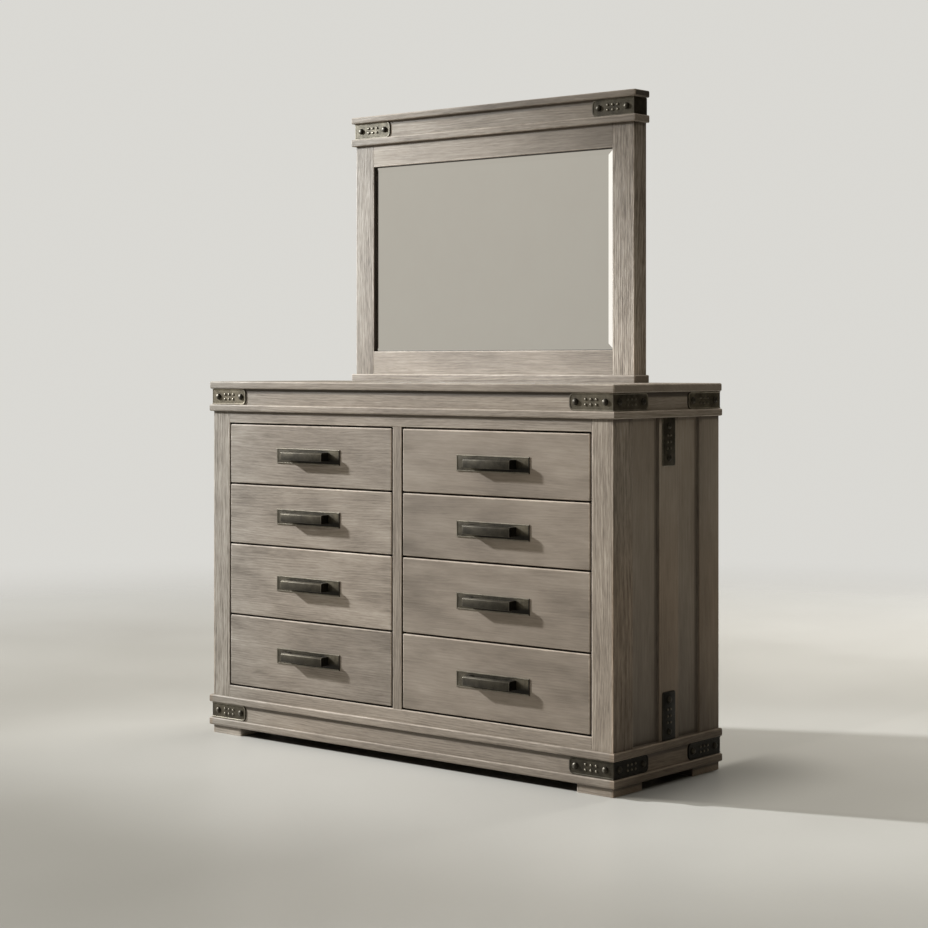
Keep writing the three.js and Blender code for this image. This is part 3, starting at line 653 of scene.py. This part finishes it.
# ---- drawers ----------------------------------------------------------------
for row, (z, h, bh) in enumerate(ROWS):
    # Painted light: the tone of each drawer front and its run from left to right follow how the light falls over the
    # front; the top edges are lighter and the lower ones darker as light from above, and the faces in the gaps dark as
    # painted shade.
    left = ((0.87, (1.13, 0.84)), (1.05, (1.0, 1.0)), (1.01, (1.06, 0.95)), (1.0, (1.0, 0.87)))[row]
    right = ((0.90, (1.0, 0.98)), (0.93, (1.0, 0.99)), (0.92, (0.9, 1.11)), (0.94, (0.97, 1.05)))[row]
    for side, s, (level, slope) in (("left", -1, left), ("right", 1, right)):
        name = f"r{4 - row}_{side}"
        body = f"drawer_{name}"
        xc, seed = s * COL_X, 200 + row * 20 + (10 if s > 0 else 0)
        sh = Shell()
        board(sh, xc - HALF_FRONT, xc + HALF_FRONT, YF, YF + 20, z, z + h, "x", seed, 3.0, (), 0.95 if s < 0 else 0.44, 0.0, seg=4, level=level, wear=by_height(z + h / 2, 0.25, -0.2), gap=0.5, slope=slope)
        sh.piece(f"drawer_front_{name}_board", body, [front_wood], [f"drawer_front_{name}"])

        x0, x1 = sorted((s * BOX_IN, s * BOX_OUT))
        y0, y1, zb = YF + 20, YF + 20 + BOX_L, z + BOX_LIFT
        sh = Shell()
        for k, (a, b) in enumerate(((x0, x0 + WALL), (x1 - WALL, x1))):
            board(sh, a, b, y0, y1, zb, zb + bh, "y", seed + 1 + k, 1.6, (), 0.9)
        for k, (a, b) in enumerate(((y0, y0 + WALL), (y1 - WALL, y1))):
            board(sh, x0 + WALL, x1 - WALL, a, b, zb, zb + bh, "x", seed + 3 + k, 1.6, ["-x", "+x"], 0.9)
        board(sh, x0 + WALL, x1 - WALL, y0 + WALL, y1 - WALL, zb + 0.5, zb + 6, "x", seed + 5, 0.0, (), 0.7)
        # Dovetail pins, let into the side boards at both ends.
        count = 4 if bh > 150 else 3
        for xo, out in ((x0, -1), (x1, 1)):
            for ya, into in ((y0, 1), (y1, -1)):
                for k in range(count):
                    zc = zb + bh * (k + 0.5) / count
                    poly = [(ya + into * 0.4, zc - 5.5), (ya + into * 0.4, zc + 5.5), (ya + into * WALL, zc + 9.5), (ya + into * WALL, zc - 9.5)]
                    bm = prism(poly, "x", xo - out * 0.8, xo + out * 0.12, 0.0)
                    sh.take(bm, "x", [-FAR] * 3, [FAR] * 3, (0.78, 1.3, 0.0), offset(seed + 6 + k))
        sh.piece(f"drawer_box_{name}_boards", body, [box_wood], [f"drawer_box_{name}"])

        zc = z + h / 2
        sh = Shell()
        p0, p1 = zc - 24.3, zc + 21.3
        bm = prism([(xc - 127.5, YF - 1.5), (xc + 127.5, YF - 1.5), (xc + 127.5, YF), (xc - 127.5, YF)], "z", p0, p1, 0.4, 3, {2})
        for x in (-70, -35, 60, 92):
            cut(bm, "x", xc + x)
        for dz in (-11, 6):
            cut(bm, "z", zc + dz)

        def plate_painted_shadow(co):
            # Painted shadow of the bar on the plate: nearly black below it, dark behind its far leg and a little dark
            # behind the bar, with a painted light patch above the far leg.
            x, low = co[0] - xc, co[2] < zc - 10
            if x > 91:
                return 0.22 if low else (0.5 if co[2] < zc + 5 else 1.8)
            if x > -36:
                return 0.22 if low else (0.5 if x > 59 else 0.8)
            return 1.0

        sh.take(bm, "x", [xc - 127.5, YF - 1.5, p0], [xc + 127.5, FAR, p1], tone(seed + 11, 1.0, 0.06, 1.08), offset(seed + 11), tint=plate_painted_shadow)
        # Painted light on the rim: its right-hand strip dark as painted shade, the others lighter with lighter edges as
        # painted light.
        for k, (grain, poly) in enumerate((
            ("x", [(xc - 127.5, p0), (xc + 127.5, p0), (xc + 124, p0 + 3.5), (xc - 124, p0 + 3.5)]),
            ("z", [(xc + 127.5, p0), (xc + 127.5, p1), (xc + 124, p1 - 3.5), (xc + 124, p0 + 3.5)]),
            ("x", [(xc + 127.5, p1), (xc - 127.5, p1), (xc - 124, p1 - 3.5), (xc + 124, p1 - 3.5)]),
            ("z", [(xc - 127.5, p1), (xc - 127.5, p0), (xc - 124, p0 + 3.5), (xc - 124, p1 - 3.5)]),
        )):
            bm = prism(poly, "y", YF - 2.5, YF - 1.4, 0.5, 2, {1, 3, "hi"})
            sh.take(bm, grain, [-FAR] * 3, [FAR] * 3, (0.2, 1.0, 0.0) if k == 1 else (1.35, 1.0, 0.25), offset(seed + 12))
        b0, b1, yo, yi, za, zt = xc - 82, xc + 82, YF - 32, YF - 22, zc - 13, zc + 13
        section = [(yo, za + 1.5), (yo + 1.5, za), (yi, za), (yi, zt), (yo + 4, zt), (yo, zt - 4)]
        bm = prism(section, "x", b0, b1, 0.7, 2, ())
        # Painted light on the bar: its right-hand end and lower part dark as painted shade, and the bars of the
        # left-hand drawers lighter than those on the right.
        sh.take(bm, "x", [b0, yo, za], [b1, yi, zt], tone(seed + 13, 1.0, 0.08), offset(seed + 13),
                tint=lambda co: (0.3 if co[0] > b1 - 0.3 else 1.0) * (0.6 if co[2] < zc - 8 else (1.2 if xc < 0 else 0.85)))
        # The legs are kept dark, which on the right-hand leg is painted shade.
        for a, b in ((b0 + 0.1, b0 + 14), (b1 - 14, b1 - 0.1)):
            board(sh, a, b, yi - 0.1, YF - 1.4, za + 0.1, zt - 0.1, "x", seed + 14, 0.7, ["-y", "+y"], seg=2, level=0.35)
        sh.piece(f"drawer_pull_{name}_cast", body, [iron], [f"drawer_pull_{name}"], sharp=40)


# ---- corner bands and straps ------------------------------------------------
def outline(u1, w0, w1, r, start, steps=12):
    """Edge of a band leg, from its corner along the bottom, round the end and back along the top, each point with its inward direction."""
    pts = [((start, w0), (0.0, 1.0)), ((u1 - r, w0), (0.0, 1.0))]
    for i in range(1, steps):
        t = -math.pi / 2 + i / steps * math.pi / 2
        pts.append(((u1 - r + r * math.cos(t), w0 + r + r * math.sin(t)), (-math.cos(t), -math.sin(t))))
    pts.append(((u1, w0 + r), (-1.0, 0.0)))
    pts.append(((u1, w1 - r), (-1.0, 0.0)))
    for i in range(1, steps):
        t = i / steps * math.pi / 2
        pts.append(((u1 - r + r * math.cos(t), w1 - r + r * math.sin(t)), (-math.cos(t), -math.sin(t))))
    pts += [((u1 - r, w1), (0.0, -1.0)), ((start, w1), (0.0, -1.0))]
    return pts


def band_leg(sh, place, u1, w0, w1, r, seed, thick=2.2, rim_h=1.1, rim_w=4.2, start=0.0, level=1.0):
    """A plate with a raised rim. place(u, w, h) gives the point at u along the leg, w up, h out of the wood."""
    path = outline(u1, w0, w1, r, start)
    # From the wood outwards: wall, eased edge, rim top, slope down to the plate.
    section = [(0.0, -0.3), (0.0, thick + rim_h - 0.6), (0.6, thick + rim_h), (rim_w - 1.4, thick + rim_h), (rim_w, thick)]
    bm = bmesh.new()
    grid = []
    for (u, w), (nu, nw) in path:
        grid.append([bm.verts.new(place(u + nu * d, w + nw * d, hh)) for d, hh in section])
    for a, b in zip(grid, grid[1:]):
        for i in range(len(section) - 1):
            bm.faces.new((a[i], b[i], b[i + 1], a[i + 1]))
    bm.faces.new([g[-1] for g in grid])
    bm.faces.new([g[0] for g in grid][::-1])
    bm.faces.new([grid[0][i] for i in range(len(section))] + [grid[-1][i] for i in range(len(section) - 1, -1, -1)])
    bmesh.ops.recalc_face_normals(bm, faces=bm.faces[:])
    top = {v for g in grid for v in (g[2], g[3])}
    ids = {tuple(round(c, 4) for c in v.co) for v in top}
    # The rim tops are rubbed lighter, and more so on the brighter bands, which is painted highlight.
    sh.take(bm, "x", [-FAR] * 3, [FAR] * 3, tone(seed, 1.0, 0.05, level), offset(seed), smooth=True,
            wear=lambda co: min(0.3, 0.22 * level ** 2) if tuple(round(c, 4) for c in co) in ids else 0.0)


def band_painted_shadow(sh, place, u1, w0, w1, r, seed):
    """Painted shadow: a hair-thin black line on the wood round the end of a band, where its edge would cast a shadow.
    """
    pts = [p for p, _ in outline(u1 + 2.6, w0, w1, r + 2.4, u1 - r - 6)]
    bm = bmesh.new()
    low = [bm.verts.new(place(u, w, -0.1)) for u, w in pts]
    high = [bm.verts.new(place(u, w, 0.25)) for u, w in pts]
    bm.faces.new(low[::-1])
    bm.faces.new(high)
    for i in range(len(pts)):
        j = (i + 1) % len(pts)
        bm.faces.new((low[i], low[j], high[j], high[i]))
    bmesh.ops.recalc_face_normals(bm, faces=bm.faces[:])
    sh.take(bm, "x", [-FAR] * 3, [FAR] * 3, (0.12, 1.0, 0.0), offset(seed))


def band(name, cx, cy, sx, sy, z0, z1, lx, ly, r, studs, seed, level, flank=1.0):
    """level is the tone of the leg along the front or back, flank that of the leg along the side; both are painted
    light, brighter where light falls on the band and darker where it stands in shade.
    """
    sh = Shell()
    zc = (z0 + z1) / 2
    e = 0.35

    def on_x(u, w, hh):
        return (cx - sx * u, cy - sy * hh, w)

    def on_y(v, w, hh):
        return (cx + sx * hh, cy + sy * v, w)

    band_leg(sh, on_x, lx, z0 + e, z1 - e, r, seed, start=-2.2, level=level)
    band_painted_shadow(sh, on_x, lx, z0 + 0.1, z1 - 0.1, r, seed + 6)
    if studs:
        band_painted_shadow(sh, on_y, ly, z0 + 0.1, z1 - 0.1, r, seed + 7)
        band_leg(sh, on_y, ly, z0 + e, z1 - e, r, seed + 1, start=-2.2, level=flank)
    else:
        bm = prism([(0, -2.2), (2.2, -2.2), (2.2, ly), (0, ly)], "z", z0 + e, z1 - e, 0.5, 2, ())
        for v in bm.verts:
            v.co = (cx + sx * v.co[0], cy + sy * v.co[1], v.co[2])
        bmesh.ops.recalc_face_normals(bm, faces=bm.faces[:])
        xs = sorted((cx, cx + sx * 2.2))
        sh.take(bm, "x", [xs[0], -FAR, z0 + e], [xs[1], FAR, z1 - e], tone(seed + 1, 1.0, 0.05), offset(seed + 1))
    # The rounded edge where the band turns the corner.
    bm = prism([(-0.4, -0.4), (2.6, -0.4), (2.6, 2.6), (-0.4, 2.6)], "z", z0 + e, z1 - e, 1.4, 3, {"lo", "hi", 0, 3})
    for v in bm.verts:
        v.co = (cx + sx * v.co[0], cy - sy * v.co[1], v.co[2])
    bmesh.ops.recalc_face_normals(bm, faces=bm.faces[:])
    sh.take(bm, "x", [-FAR] * 3, [FAR] * 3, (0.8 * level, 1.0, 0.12), offset(seed))
    # The back leg is plain.
    u1, um = (lx - 20, lx / 2) if studs else (lx - 22, (lx + 2) / 2)
    for u in (24, u1) if sy > 0 else ():
        dome(sh, (cx - sx * u, cy - sy * 2.1, zc), "y", -sy, 9.2, 6.4, 24, 6, seed + 2)
    for du in (-17.5, 0, 17.5) if sy > 0 else ():
        for dz in (-7, 7):
            dome(sh, (cx - sx * (um + du), cy - sy * 2.1, zc + dz), "y", -sy, 3.9, 3.0, 14, 3, seed + 3)
    if studs:
        for v in (24, ly - 22):
            dome(sh, (cx + sx * 2.1, cy + sy * v, zc), "x", sx, 9.2, 6.4, 24, 6, seed + 4)
        for dv in (-17.5, 0, 17.5):
            for dz in (-7, 7):
                dome(sh, (cx + sx * 2.1, cy + sy * ((ly + 2) / 2 + dv), zc + dz), "x", sx, 3.9, 3.0, 14, 3, seed + 5)
    sh.piece(f"{name}_forged", "carcass", [iron], [name], sharp=38)


BAND_R = 14.0
# Painted light: the tones of the front leg and the side leg of each band, set band by band to the light on it; the
# lower bands on the right are much darker.
METAL_PAINTED_LIGHT = {
    ("top", "front", "left"): (2.4, 1.5), ("top", "front", "right"): (1.5, 1.55),
    ("top", "rear", "left"): (1.3, 1.5), ("top", "rear", "right"): (1.3, 2.5),
    ("base", "front", "left"): (1.3, 0.8), ("base", "front", "right"): (0.76, 0.26),
    ("base", "rear", "left"): (0.8, 0.7), ("base", "rear", "right"): (0.8, 0.28),
}
seed = 400
for level, z0, z1 in (("top", Z_TOPM, Z_FRZ), ("base", Z_B1, Z_B2)):
    for side, sx in (("left", -1), ("right", 1)):
        for end, cy, sy in (("front", YF, 1), ("rear", YB, -1)):
            band(f"bracket_{level}_{end}_{side}", sx * HX, cy, sx, sy, z0, z1, 140.5, 153, BAND_R, True, seed, *METAL_PAINTED_LIGHT[level, end, side])
            seed += 10
for side, sx in (("left", -1), ("right", 1)):
    # The left mirror bracket is lighter than the right one, as painted light.
    band(f"mirror_bracket_{side}", sx * M_HW, M_Y0, sx, 1, M_ZM, M_ZF, 143, M_Y1 - M_Y0, BAND_R, False, seed, 1.6 if sx < 0 else 1.0)
    seed += 10

for side, sx in (("left", -1), ("right", 1)):
    for level, z0, z1, end in (("top", Z_RAIL - 130, Z_RAIL, 1), ("base", Z_B3, Z_B3 + 130, -1)):
        yc, hw, c = YF + 250.0, 29.5, 4.0
        if end > 0:
            o = [(-hw, z1 - 0.4), (-hw, z0 + c), (-hw + c, z0), (hw - c, z0), (hw, z0 + c), (hw, z1 - 0.4)]
        else:
            o = [(-hw, z1 - c), (-hw, z0 + 0.4), (hw, z0 + 0.4), (hw, z1 - c), (hw - c, z1), (-hw + c, z1)]
        x0, x1 = sorted((sx * (HX - 0.3), sx * (HX + 2.8)))
        sh = Shell()
        bm = prism([(yc + a, b) for a, b in o], "x", x0, x1, 1.1, 3, {"lo" if sx > 0 else "hi"})
        # The lower straps are much darker than the upper ones: painted shade low down on the sides.
        sh.take(bm, "x", [x0 - FAR if sx > 0 else x0, yc - hw, z0], [x1 if sx > 0 else x1 + FAR, yc + hw, z1], tone(seed, 1.0, 0.05, 1.1 if end > 0 else 0.2), offset(seed))
        xf, zc = sx * (HX + 2.7), (z0 + z1) / 2
        for zz in (z0 + 22, z1 - 22):
            dome(sh, (xf, yc, zz), "x", sx, 9.2, 6.2, 24, 6, seed + 1)
        for dz in (-17.5, 0, 17.5):
            for dv in (-7, 7):
                dome(sh, (xf, yc + dv, zc + dz), "x", sx, 3.9, 2.8, 14, 3, seed + 2)
        sh.piece(f"strap_{level}_{side}_forged", "carcass", [iron], [f"strap_{level}_{side}"], sharp=38)
        seed += 10

# ---- mirror -----------------------------------------------------------------
sh = Shell()
# Painted light along the moulding, and a dark band along its foot as painted shade where it sits on the top.
board(sh, -M_BHW, M_BHW, M_CY0, M_Y1, Z_TOP, M_Z0, "x", 701, 3.5, ["-z"], 1.0, seg=4, level=0.90, wear=by_height(Z_TOP + 11, 0.25, -0.5), shade_joints=["-z"], tint=mirror_painted_light(1.22, 1.08, 1.06, 1.0))
sh.piece("mirror_foot_moulding_board", "carcass", [case_wood], ["mirror_foot_moulding"])


def stile_painted_shade(co, s):
    """Painted shade: the right-hand stile darkens upwards, more so on its outer side; the left-hand one hardly."""
    up = (co[2] - M_Z0) / (M_Z1 - M_Z0)
    if s < 0:
        return 0.94 + 0.09 * up
    if co[0] > M_HW - 0.3 and co[1] > M_Y0 + 1.0:
        return 1.24 - 0.58 * up
    return 1.16 - 0.34 * up


for side, s in (("left", -1), ("right", 1)):
    sh = Shell()
    k = 711 if s < 0 else 712
    poly = [(s * x, y) for x, y in ((M_OHW, M_Y0), (M_HW, M_Y0), (M_HW, M_Y1), (M_OHW + 8, M_Y1), (M_OHW + 8, M_Y0 + 8), (M_OHW, M_Y0 + 8))]
    bm = prism(poly, "z", M_Z0, M_Z1, 2.2, 3, {"lo", "hi"})
    cut(bm, "z", M_Z1 - 20)
    xs = sorted((s * M_OHW, s * M_HW))
    # A dark band at the top of the stile, under the crown moulding, is painted shade.
    sh.take(bm, "z", [xs[0], M_Y0, -FAR], [xs[1], M_Y1, M_Z1], tone(k, 1.6 if s < 0 else 2.1, 0.02, 1.02 if s < 0 else 1.08), offset(k), wear=by_height(M_Z1 - 1, -1.0, 0.0),
            tint=lambda co: stile_painted_shade(co, s))
    # Painted shade: a dark sheet over the inner side of the frame.
    bm = prism([(s * x, y) for x, y in ((M_OHW - 0.3, M_Y0 + 1.4), (M_OHW + 0.1, M_Y0 + 1.4), (M_OHW + 0.1, M_Y0 + 8), (M_OHW - 0.3, M_Y0 + 8))], "z", M_ZO0, M_ZO1, 0.0)
    sh.take(bm, "z", [-FAR] * 3, [FAR] * 3, (0.22, 1.0, 0.0), offset(k + 3))
    for z0, z1 in ((M_Z0, M_ZO0 - 8), (M_ZO1 + 8, M_Z1)):
        x0, x1 = sorted((s * M_OHW, s * (M_OHW + 8)))
        board(sh, x0, x1, M_Y0 + 8, M_Y1, z0, z1, "z", k, 0.0)
    sh.piece(f"mirror_stile_{side}_board", "carcass", [case_wood], [f"mirror_stile_{side}"])
for level, z0, z1 in (("bottom", M_Z0, M_ZO0), ("top", M_ZO1, M_Z1)):
    sh = Shell()
    if level == "bottom":
        poly = [(M_Y0, z0), (M_Y1, z0), (M_Y1, z1 - 8), (M_Y0 + 8, z1 - 8), (M_Y0 + 8, z1), (M_Y0, z1)]
        joints, k = {"lo", "hi", 0}, 721
    else:
        poly = [(M_Y0, z0), (M_Y0 + 8, z0), (M_Y0 + 8, z0 + 8), (M_Y1, z0 + 8), (M_Y1, z1), (M_Y0, z1)]
        joints, k = {"lo", "hi", 4}, 722
    bm = prism(poly, "x", -M_OHW, M_OHW, 2.0, 3, joints)
    lo, hi = [-FAR, M_Y0, z0], [FAR, M_Y1, z1]
    if level == "bottom":
        lo[2] -= FAR
        sh.take(bm, "x", lo, hi, tone(k, 0.8, 0.0, 1.07), offset(k))
    else:
        # The top rail takes painted light along it, darkest at its right-hand end, and a dark band along its top as
        # painted shade under the crown moulding.
        cut(bm, "z", z1 - 20)
        cut(bm, "x", 0.0)
        sh.take(bm, "x", lo, hi, tone(k, 0.65, 0.0, 1.1), offset(k), wear=by_height(z1 - 1, -1.0, 0.0), tint=mirror_painted_light(1.18, 1.10, 0.57))
    # Painted shade: a dark sheet over the inner side of the rail.
    zs = (z1 - 0.1, z1 + 0.3) if level == "bottom" else (z0 - 0.3, z0 + 0.1)
    bm = prism([(M_Y0 + 1.4, zs[0]), (M_Y0 + 8, zs[0]), (M_Y0 + 8, zs[1]), (M_Y0 + 1.4, zs[1])], "x", -M_OHW + 0.3, M_OHW - 0.3, 0.0)
    sh.take(bm, "x", [-FAR] * 3, [FAR] * 3, (0.22, 1.0, 0.0), offset(k + 3))
    sh.piece(f"mirror_rail_{level}_board", "carcass", [case_wood], [f"mirror_rail_{level}"])
# Crown boards: painted light along each one, the slab's right-hand end dark as painted shade, and a dark band along the
# top of the frieze as painted shadow under the slab.
sh = Shell()
board(sh, -M_CHW, M_CHW, M_CY0, M_Y1, M_Z1, M_ZM, "x", 731, 3.5, (), 1.0, seg=4, wear=by_height(M_Z1 + 10, 0.25, -0.2), tint=mirror_painted_light(0.92, 1.24, 0.72, 0.96))
sh.piece("mirror_crown_moulding_board", "carcass", [case_wood], ["mirror_crown_moulding"])
sh = Shell()
board(sh, -M_HW, M_HW, M_Y0, M_Y1, M_ZM, M_ZF, "x", 732, 1.2, ["-z", "+z"], 0.95, wear=by_height(M_ZF - 1, -1.0, -0.3), shade_joints=["+z"], tint=mirror_painted_light(1.27, 1.04, 0.88))
sh.piece("mirror_crown_frieze_board", "carcass", [case_wood], ["mirror_crown_frieze"])
sh = Shell()
board(sh, -M_CHW, M_CHW, M_CY0, M_Y1, M_ZF, M_ZT, "x", 733, 4.0, (), 1.0, seg=4, wear=by_height(M_ZF + 10, 0.25, -0.2), tint=mirror_painted_light(1.34, 0.76, 0.85, 0.28))
sh.piece("mirror_crown_slab_board", "carcass", [case_wood], ["mirror_crown_slab"])

sh = Shell()
gx, gz0, gz1, bw = M_OHW + 7.5, M_ZO0 - 7.5, M_ZO1 + 7.5, 19.0
rings = []
for x, za, zb, y in ((gx, gz0, gz1, M_Y0 + 13), (gx, gz0, gz1, M_Y0 + 10.1), (M_OHW, M_ZO0, M_ZO1, M_Y0 + 10.1), (M_OHW - bw, M_ZO0 + bw, M_ZO1 - bw, M_Y0 + 8.2)):
    rings.append([(-x, y, za), (x, y, za), (x, y, zb), (-x, y, zb)])
bm = bmesh.new()
loops = [[bm.verts.new(c) for c in ring] for ring in rings]
for lower, upper in zip(loops, loops[1:]):
    for i in range(4):
        j = (i + 1) % 4
        bm.faces.new((lower[i], lower[j], upper[j], upper[i]))
bm.faces.new(loops[0])
bm.faces.new(loops[-1])
bmesh.ops.recalc_face_normals(bm, faces=bm.faces[:])
sh.take(bm, "x", [-FAR] * 3, [FAR] * 3, (1.0, 1.0, 0.0), (0.0, 0.0, 0.0))
sh.piece("mirror_glass_bevelled", "carcass", [silver], ["mirror_glass"])

# ---- backs ------------------------------------------------------------------
sh = Shell()
board(sh, -725.5, 725.5, 244.6, 252.4, Z_B3 + 0.3, Z_RAIL - 0.3, "z", 801, 0.6, (), 0.8)
sh.piece("back_panel_board", "carcass", [back_wood], ["back_panel"])
sh = Shell()
board(sh, -gx, gx, M_Y1 - 8, M_Y1 - 2, M_ZO0 - 7.5, M_ZO1 + 7.5, "x", 802, 0.6, (), 0.8)
sh.piece("mirror_backboard_sheet", "carcass", [back_wood], ["mirror_backboard"])
sh = Shell()
for i in range(6):
    x = -640 + i * 256
    for z in (Z_B3 + 22, Z_RAIL - 22):
        screw(sh, (x, 252.3, z), "y", 1, 4.0, 810 + i)
for z in (300, 546, 790):
    for x in (-706, 0, 706):
        screw(sh, (x, 252.3, z), "y", 1, 4.0, 820)
for i in range(5):
    x = -420 + i * 210
    for z in (M_ZO0 + 6, M_ZO1 - 6):
        screw(sh, (x, M_Y1 - 2.1, z), "y", 1, 3.4, 830 + i)
for z in (1300, 1446, 1592):
    for x in (-452, 452):
        screw(sh, (x, M_Y1 - 2.1, z), "y", 1, 3.4, 840)
sh.piece("back_screws", "carcass", [screw_steel], sharp=40)

# ---- floor, light and camera --------------------------------------------------
me = bpy.data.meshes.new("floor")
count = 96
me.from_pydata([(14 * math.cos(2 * math.pi * i / count), 14 * math.sin(2 * math.pi * i / count), 0) for i in range(count)], [], [list(range(count))])
floor = bpy.data.objects.new("floor", me)
bpy.context.scene.collection.objects.link(floor)
m, net, bsdf = material("pale_floor")
tc = net.node("ShaderNodeTexCoord").outputs["Object"]
soft = net.noise(tc, 0.9, 4.0, 0.55)
fine = net.noise(tc, 60.0, 3.0, 0.6)
pale = net.ramp(net.math("ADD", net.math("MULTIPLY", soft, 0.8), net.math("MULTIPLY", fine, 0.2)), [(0.3, (0.575, 0.568, 0.540)), (0.7, (0.615, 0.608, 0.580))])
# Painted shade under the case, within its footprint.
fx, fy, fz = net.xyz(net.vmath("ABSOLUTE", net.vmath("SUBTRACT", tc, (0.0, 0.0145, 0.0))))
under = net.math("MULTIPLY", net.span(fx, 0.748, 0.735, 0.0, 1.0, smooth=True), net.span(fy, 0.246, 0.233, 0.0, 1.0, smooth=True))
# Painted shadow: the floor is darkened close to the case's shaded side, and a little lighter further out.
px, py, pz = net.xyz(tc)
shaded = net.span(net.math("SUBTRACT", py, net.math("MULTIPLY", net.math("SUBTRACT", px, 0.75), 0.38)), -0.235, -0.19, 0.0, 1.0, smooth=True)
shaded = net.math("MULTIPLY", shaded, net.span(px, 0.70, 0.76, 0.0, 1.0, smooth=True))
away = net.vmath("LENGTH", net.vec(net.math("MAXIMUM", net.math("SUBTRACT", fx, 0.75), 0.0), net.math("MAXIMUM", net.math("SUBTRACT", fy, 0.245), 0.0), 0.0))
dim = net.span(away, 0.0, 0.40, 0.45, 1.04, smooth=True)
pale = net.mix(shaded, pale, net.mix(1.0, pale, net.vec(dim, dim, dim), "MULTIPLY"))
net.put(bsdf.inputs["Base Color"], net.mix(net.math("MULTIPLY", under, 0.85), pale, (0.02, 0.018, 0.015)))
net.put(bsdf.inputs["Roughness"], net.span(soft, 0.3, 0.7, 0.30, 0.42))
bsdf.inputs["Specular IOR Level"].default_value = 0.4
# The floor runs out softly into the plain background.
clear = net.node("ShaderNodeBsdfTransparent")
blend = net.node("ShaderNodeMixShader")
net.put(blend.inputs[0], net.span(net.vmath("LENGTH", tc), 1.8, 6.2, 0.0, 1.0, smooth=True))
net.links.new(bsdf.outputs[0], blend.inputs[1])
net.links.new(clear.outputs[0], blend.inputs[2])
net.links.new(blend.outputs[0], m.node_tree.nodes["Material Output"].inputs["Surface"])
me.materials.append(m)

world = bpy.data.worlds.new("studio")
bpy.context.scene.world = world
world.use_nodes = True
net = Net(world.node_tree)
back = world.node_tree.nodes["Background"]
direction = net.node("ShaderNodeTexCoord").outputs["Generated"]
lean = net.vmath("DOT_PRODUCT", direction, (-0.8, -0.6, 0.0))
rise = net.xyz(direction)[2]
sky = net.ramp(net.span(lean, -1.0, 1.0), [(0.1, (0.046, 0.039, 0.028)), (0.5, (0.150, 0.130, 0.097)), (0.8, (0.315, 0.288, 0.236)), (0.985, (0.468, 0.443, 0.388))])
sky = net.mix(net.span(rise, 0.30, 0.95, 0.0, 0.85, smooth=True), sky, (0.594, 0.572, 0.512))
box = net.vmath("DOT_PRODUCT", direction, (-math.sin(math.radians(25)), -math.cos(math.radians(25)), 0.06))
sky = net.mix(net.span(box, math.cos(math.radians(8.5)), math.cos(math.radians(6.5)), 0.0, 1.0, smooth=True), sky, (1.12, 1.08, 1.0))
seen = net.node("ShaderNodeLightPath").outputs["Is Camera Ray"]
net.put(back.inputs["Color"], net.mix(seen, sky, (0.700, 0.690, 0.655)))
back.inputs["Strength"].default_value = 1.0


def lamp(name, kind, size, watts, colour, place, aim, hidden=False, shiny=True):
    data = bpy.data.lights.new(name, "AREA")
    data.shape = kind
    data.size = size[0]
    if kind == "RECTANGLE":
        data.size_y = size[1]
    data.energy = watts
    data.color = colour
    ob = bpy.data.objects.new(name, data)
    bpy.context.scene.collection.objects.link(ob)
    ob.location = place
    ob.rotation_mode = "QUATERNION"
    ob.rotation_quaternion = (Vector(place) - Vector(aim)).to_track_quat("Z", "Y")
    ob.visible_camera = not hidden
    ob.visible_glossy = shiny
    return ob


def spot(name, watts, degrees, colour, place, aim, radius):
    """A round soft-edged pool of light."""
    data = bpy.data.lights.new(name, "SPOT")
    data.energy = watts
    data.color = colour
    data.spot_size = math.radians(degrees)
    data.spot_blend = 1.0
    data.shadow_soft_size = radius
    ob = bpy.data.objects.new(name, data)
    bpy.context.scene.collection.objects.link(ob)
    ob.location = place
    ob.rotation_mode = "QUATERNION"
    ob.rotation_quaternion = (Vector(place) - Vector(aim)).to_track_quat("Z", "Y")


KEY = (-7.2, -2.92, 4.0)
lamp("key", "DISK", (0.45,), 365.0, (0.99, 1.0, 1.0), KEY, (-0.1, -0.1, 0.9))
spot("key_on_case", 3100.0, 19.0, (0.99, 1.0, 1.0), KEY, (-0.1, -0.23, 0.6), 0.2)
spot("key_on_mirror", 3900.0, 9.6, (0.935, 1.01, 1.06), KEY, (-0.48, 0.2, 1.53), 0.2)
lamp("overhead", "RECTANGLE", (2.4, 2.4), 12.0, (1.0, 0.985, 0.95), (-0.9, -1.4, 4.2), (0.0, 0.0, 0.8), hidden=True)
lamp("rear_fill", "RECTANGLE", (2.4, 2.0), 190.0, (1.0, 0.98, 0.94), (0.3, 4.8, 3.0), (0.5, 0.6, 0.3), hidden=True, shiny=False)

cam_data = bpy.data.cameras.new("camera")
cam_data.sensor_width = 36.0
cam_data.lens = 2065.0 / 928.0 * 36.0
cam_data.shift_y = (364.65 - 464.0) / 928.0
cam_data.clip_end = 200.0
camera = bpy.data.objects.new("camera", cam_data)
bpy.context.scene.collection.objects.link(camera)
camera.location = (3.885, -4.5605, 1.119)
camera.rotation_euler = (math.radians(90), 0.0, math.radians(40.06))
bpy.context.scene.camera = camera

view = bpy.context.scene.view_settings
view.view_transform = "Standard"
view.look = "None"
view.exposure = 0.0
view.gamma = 1.0
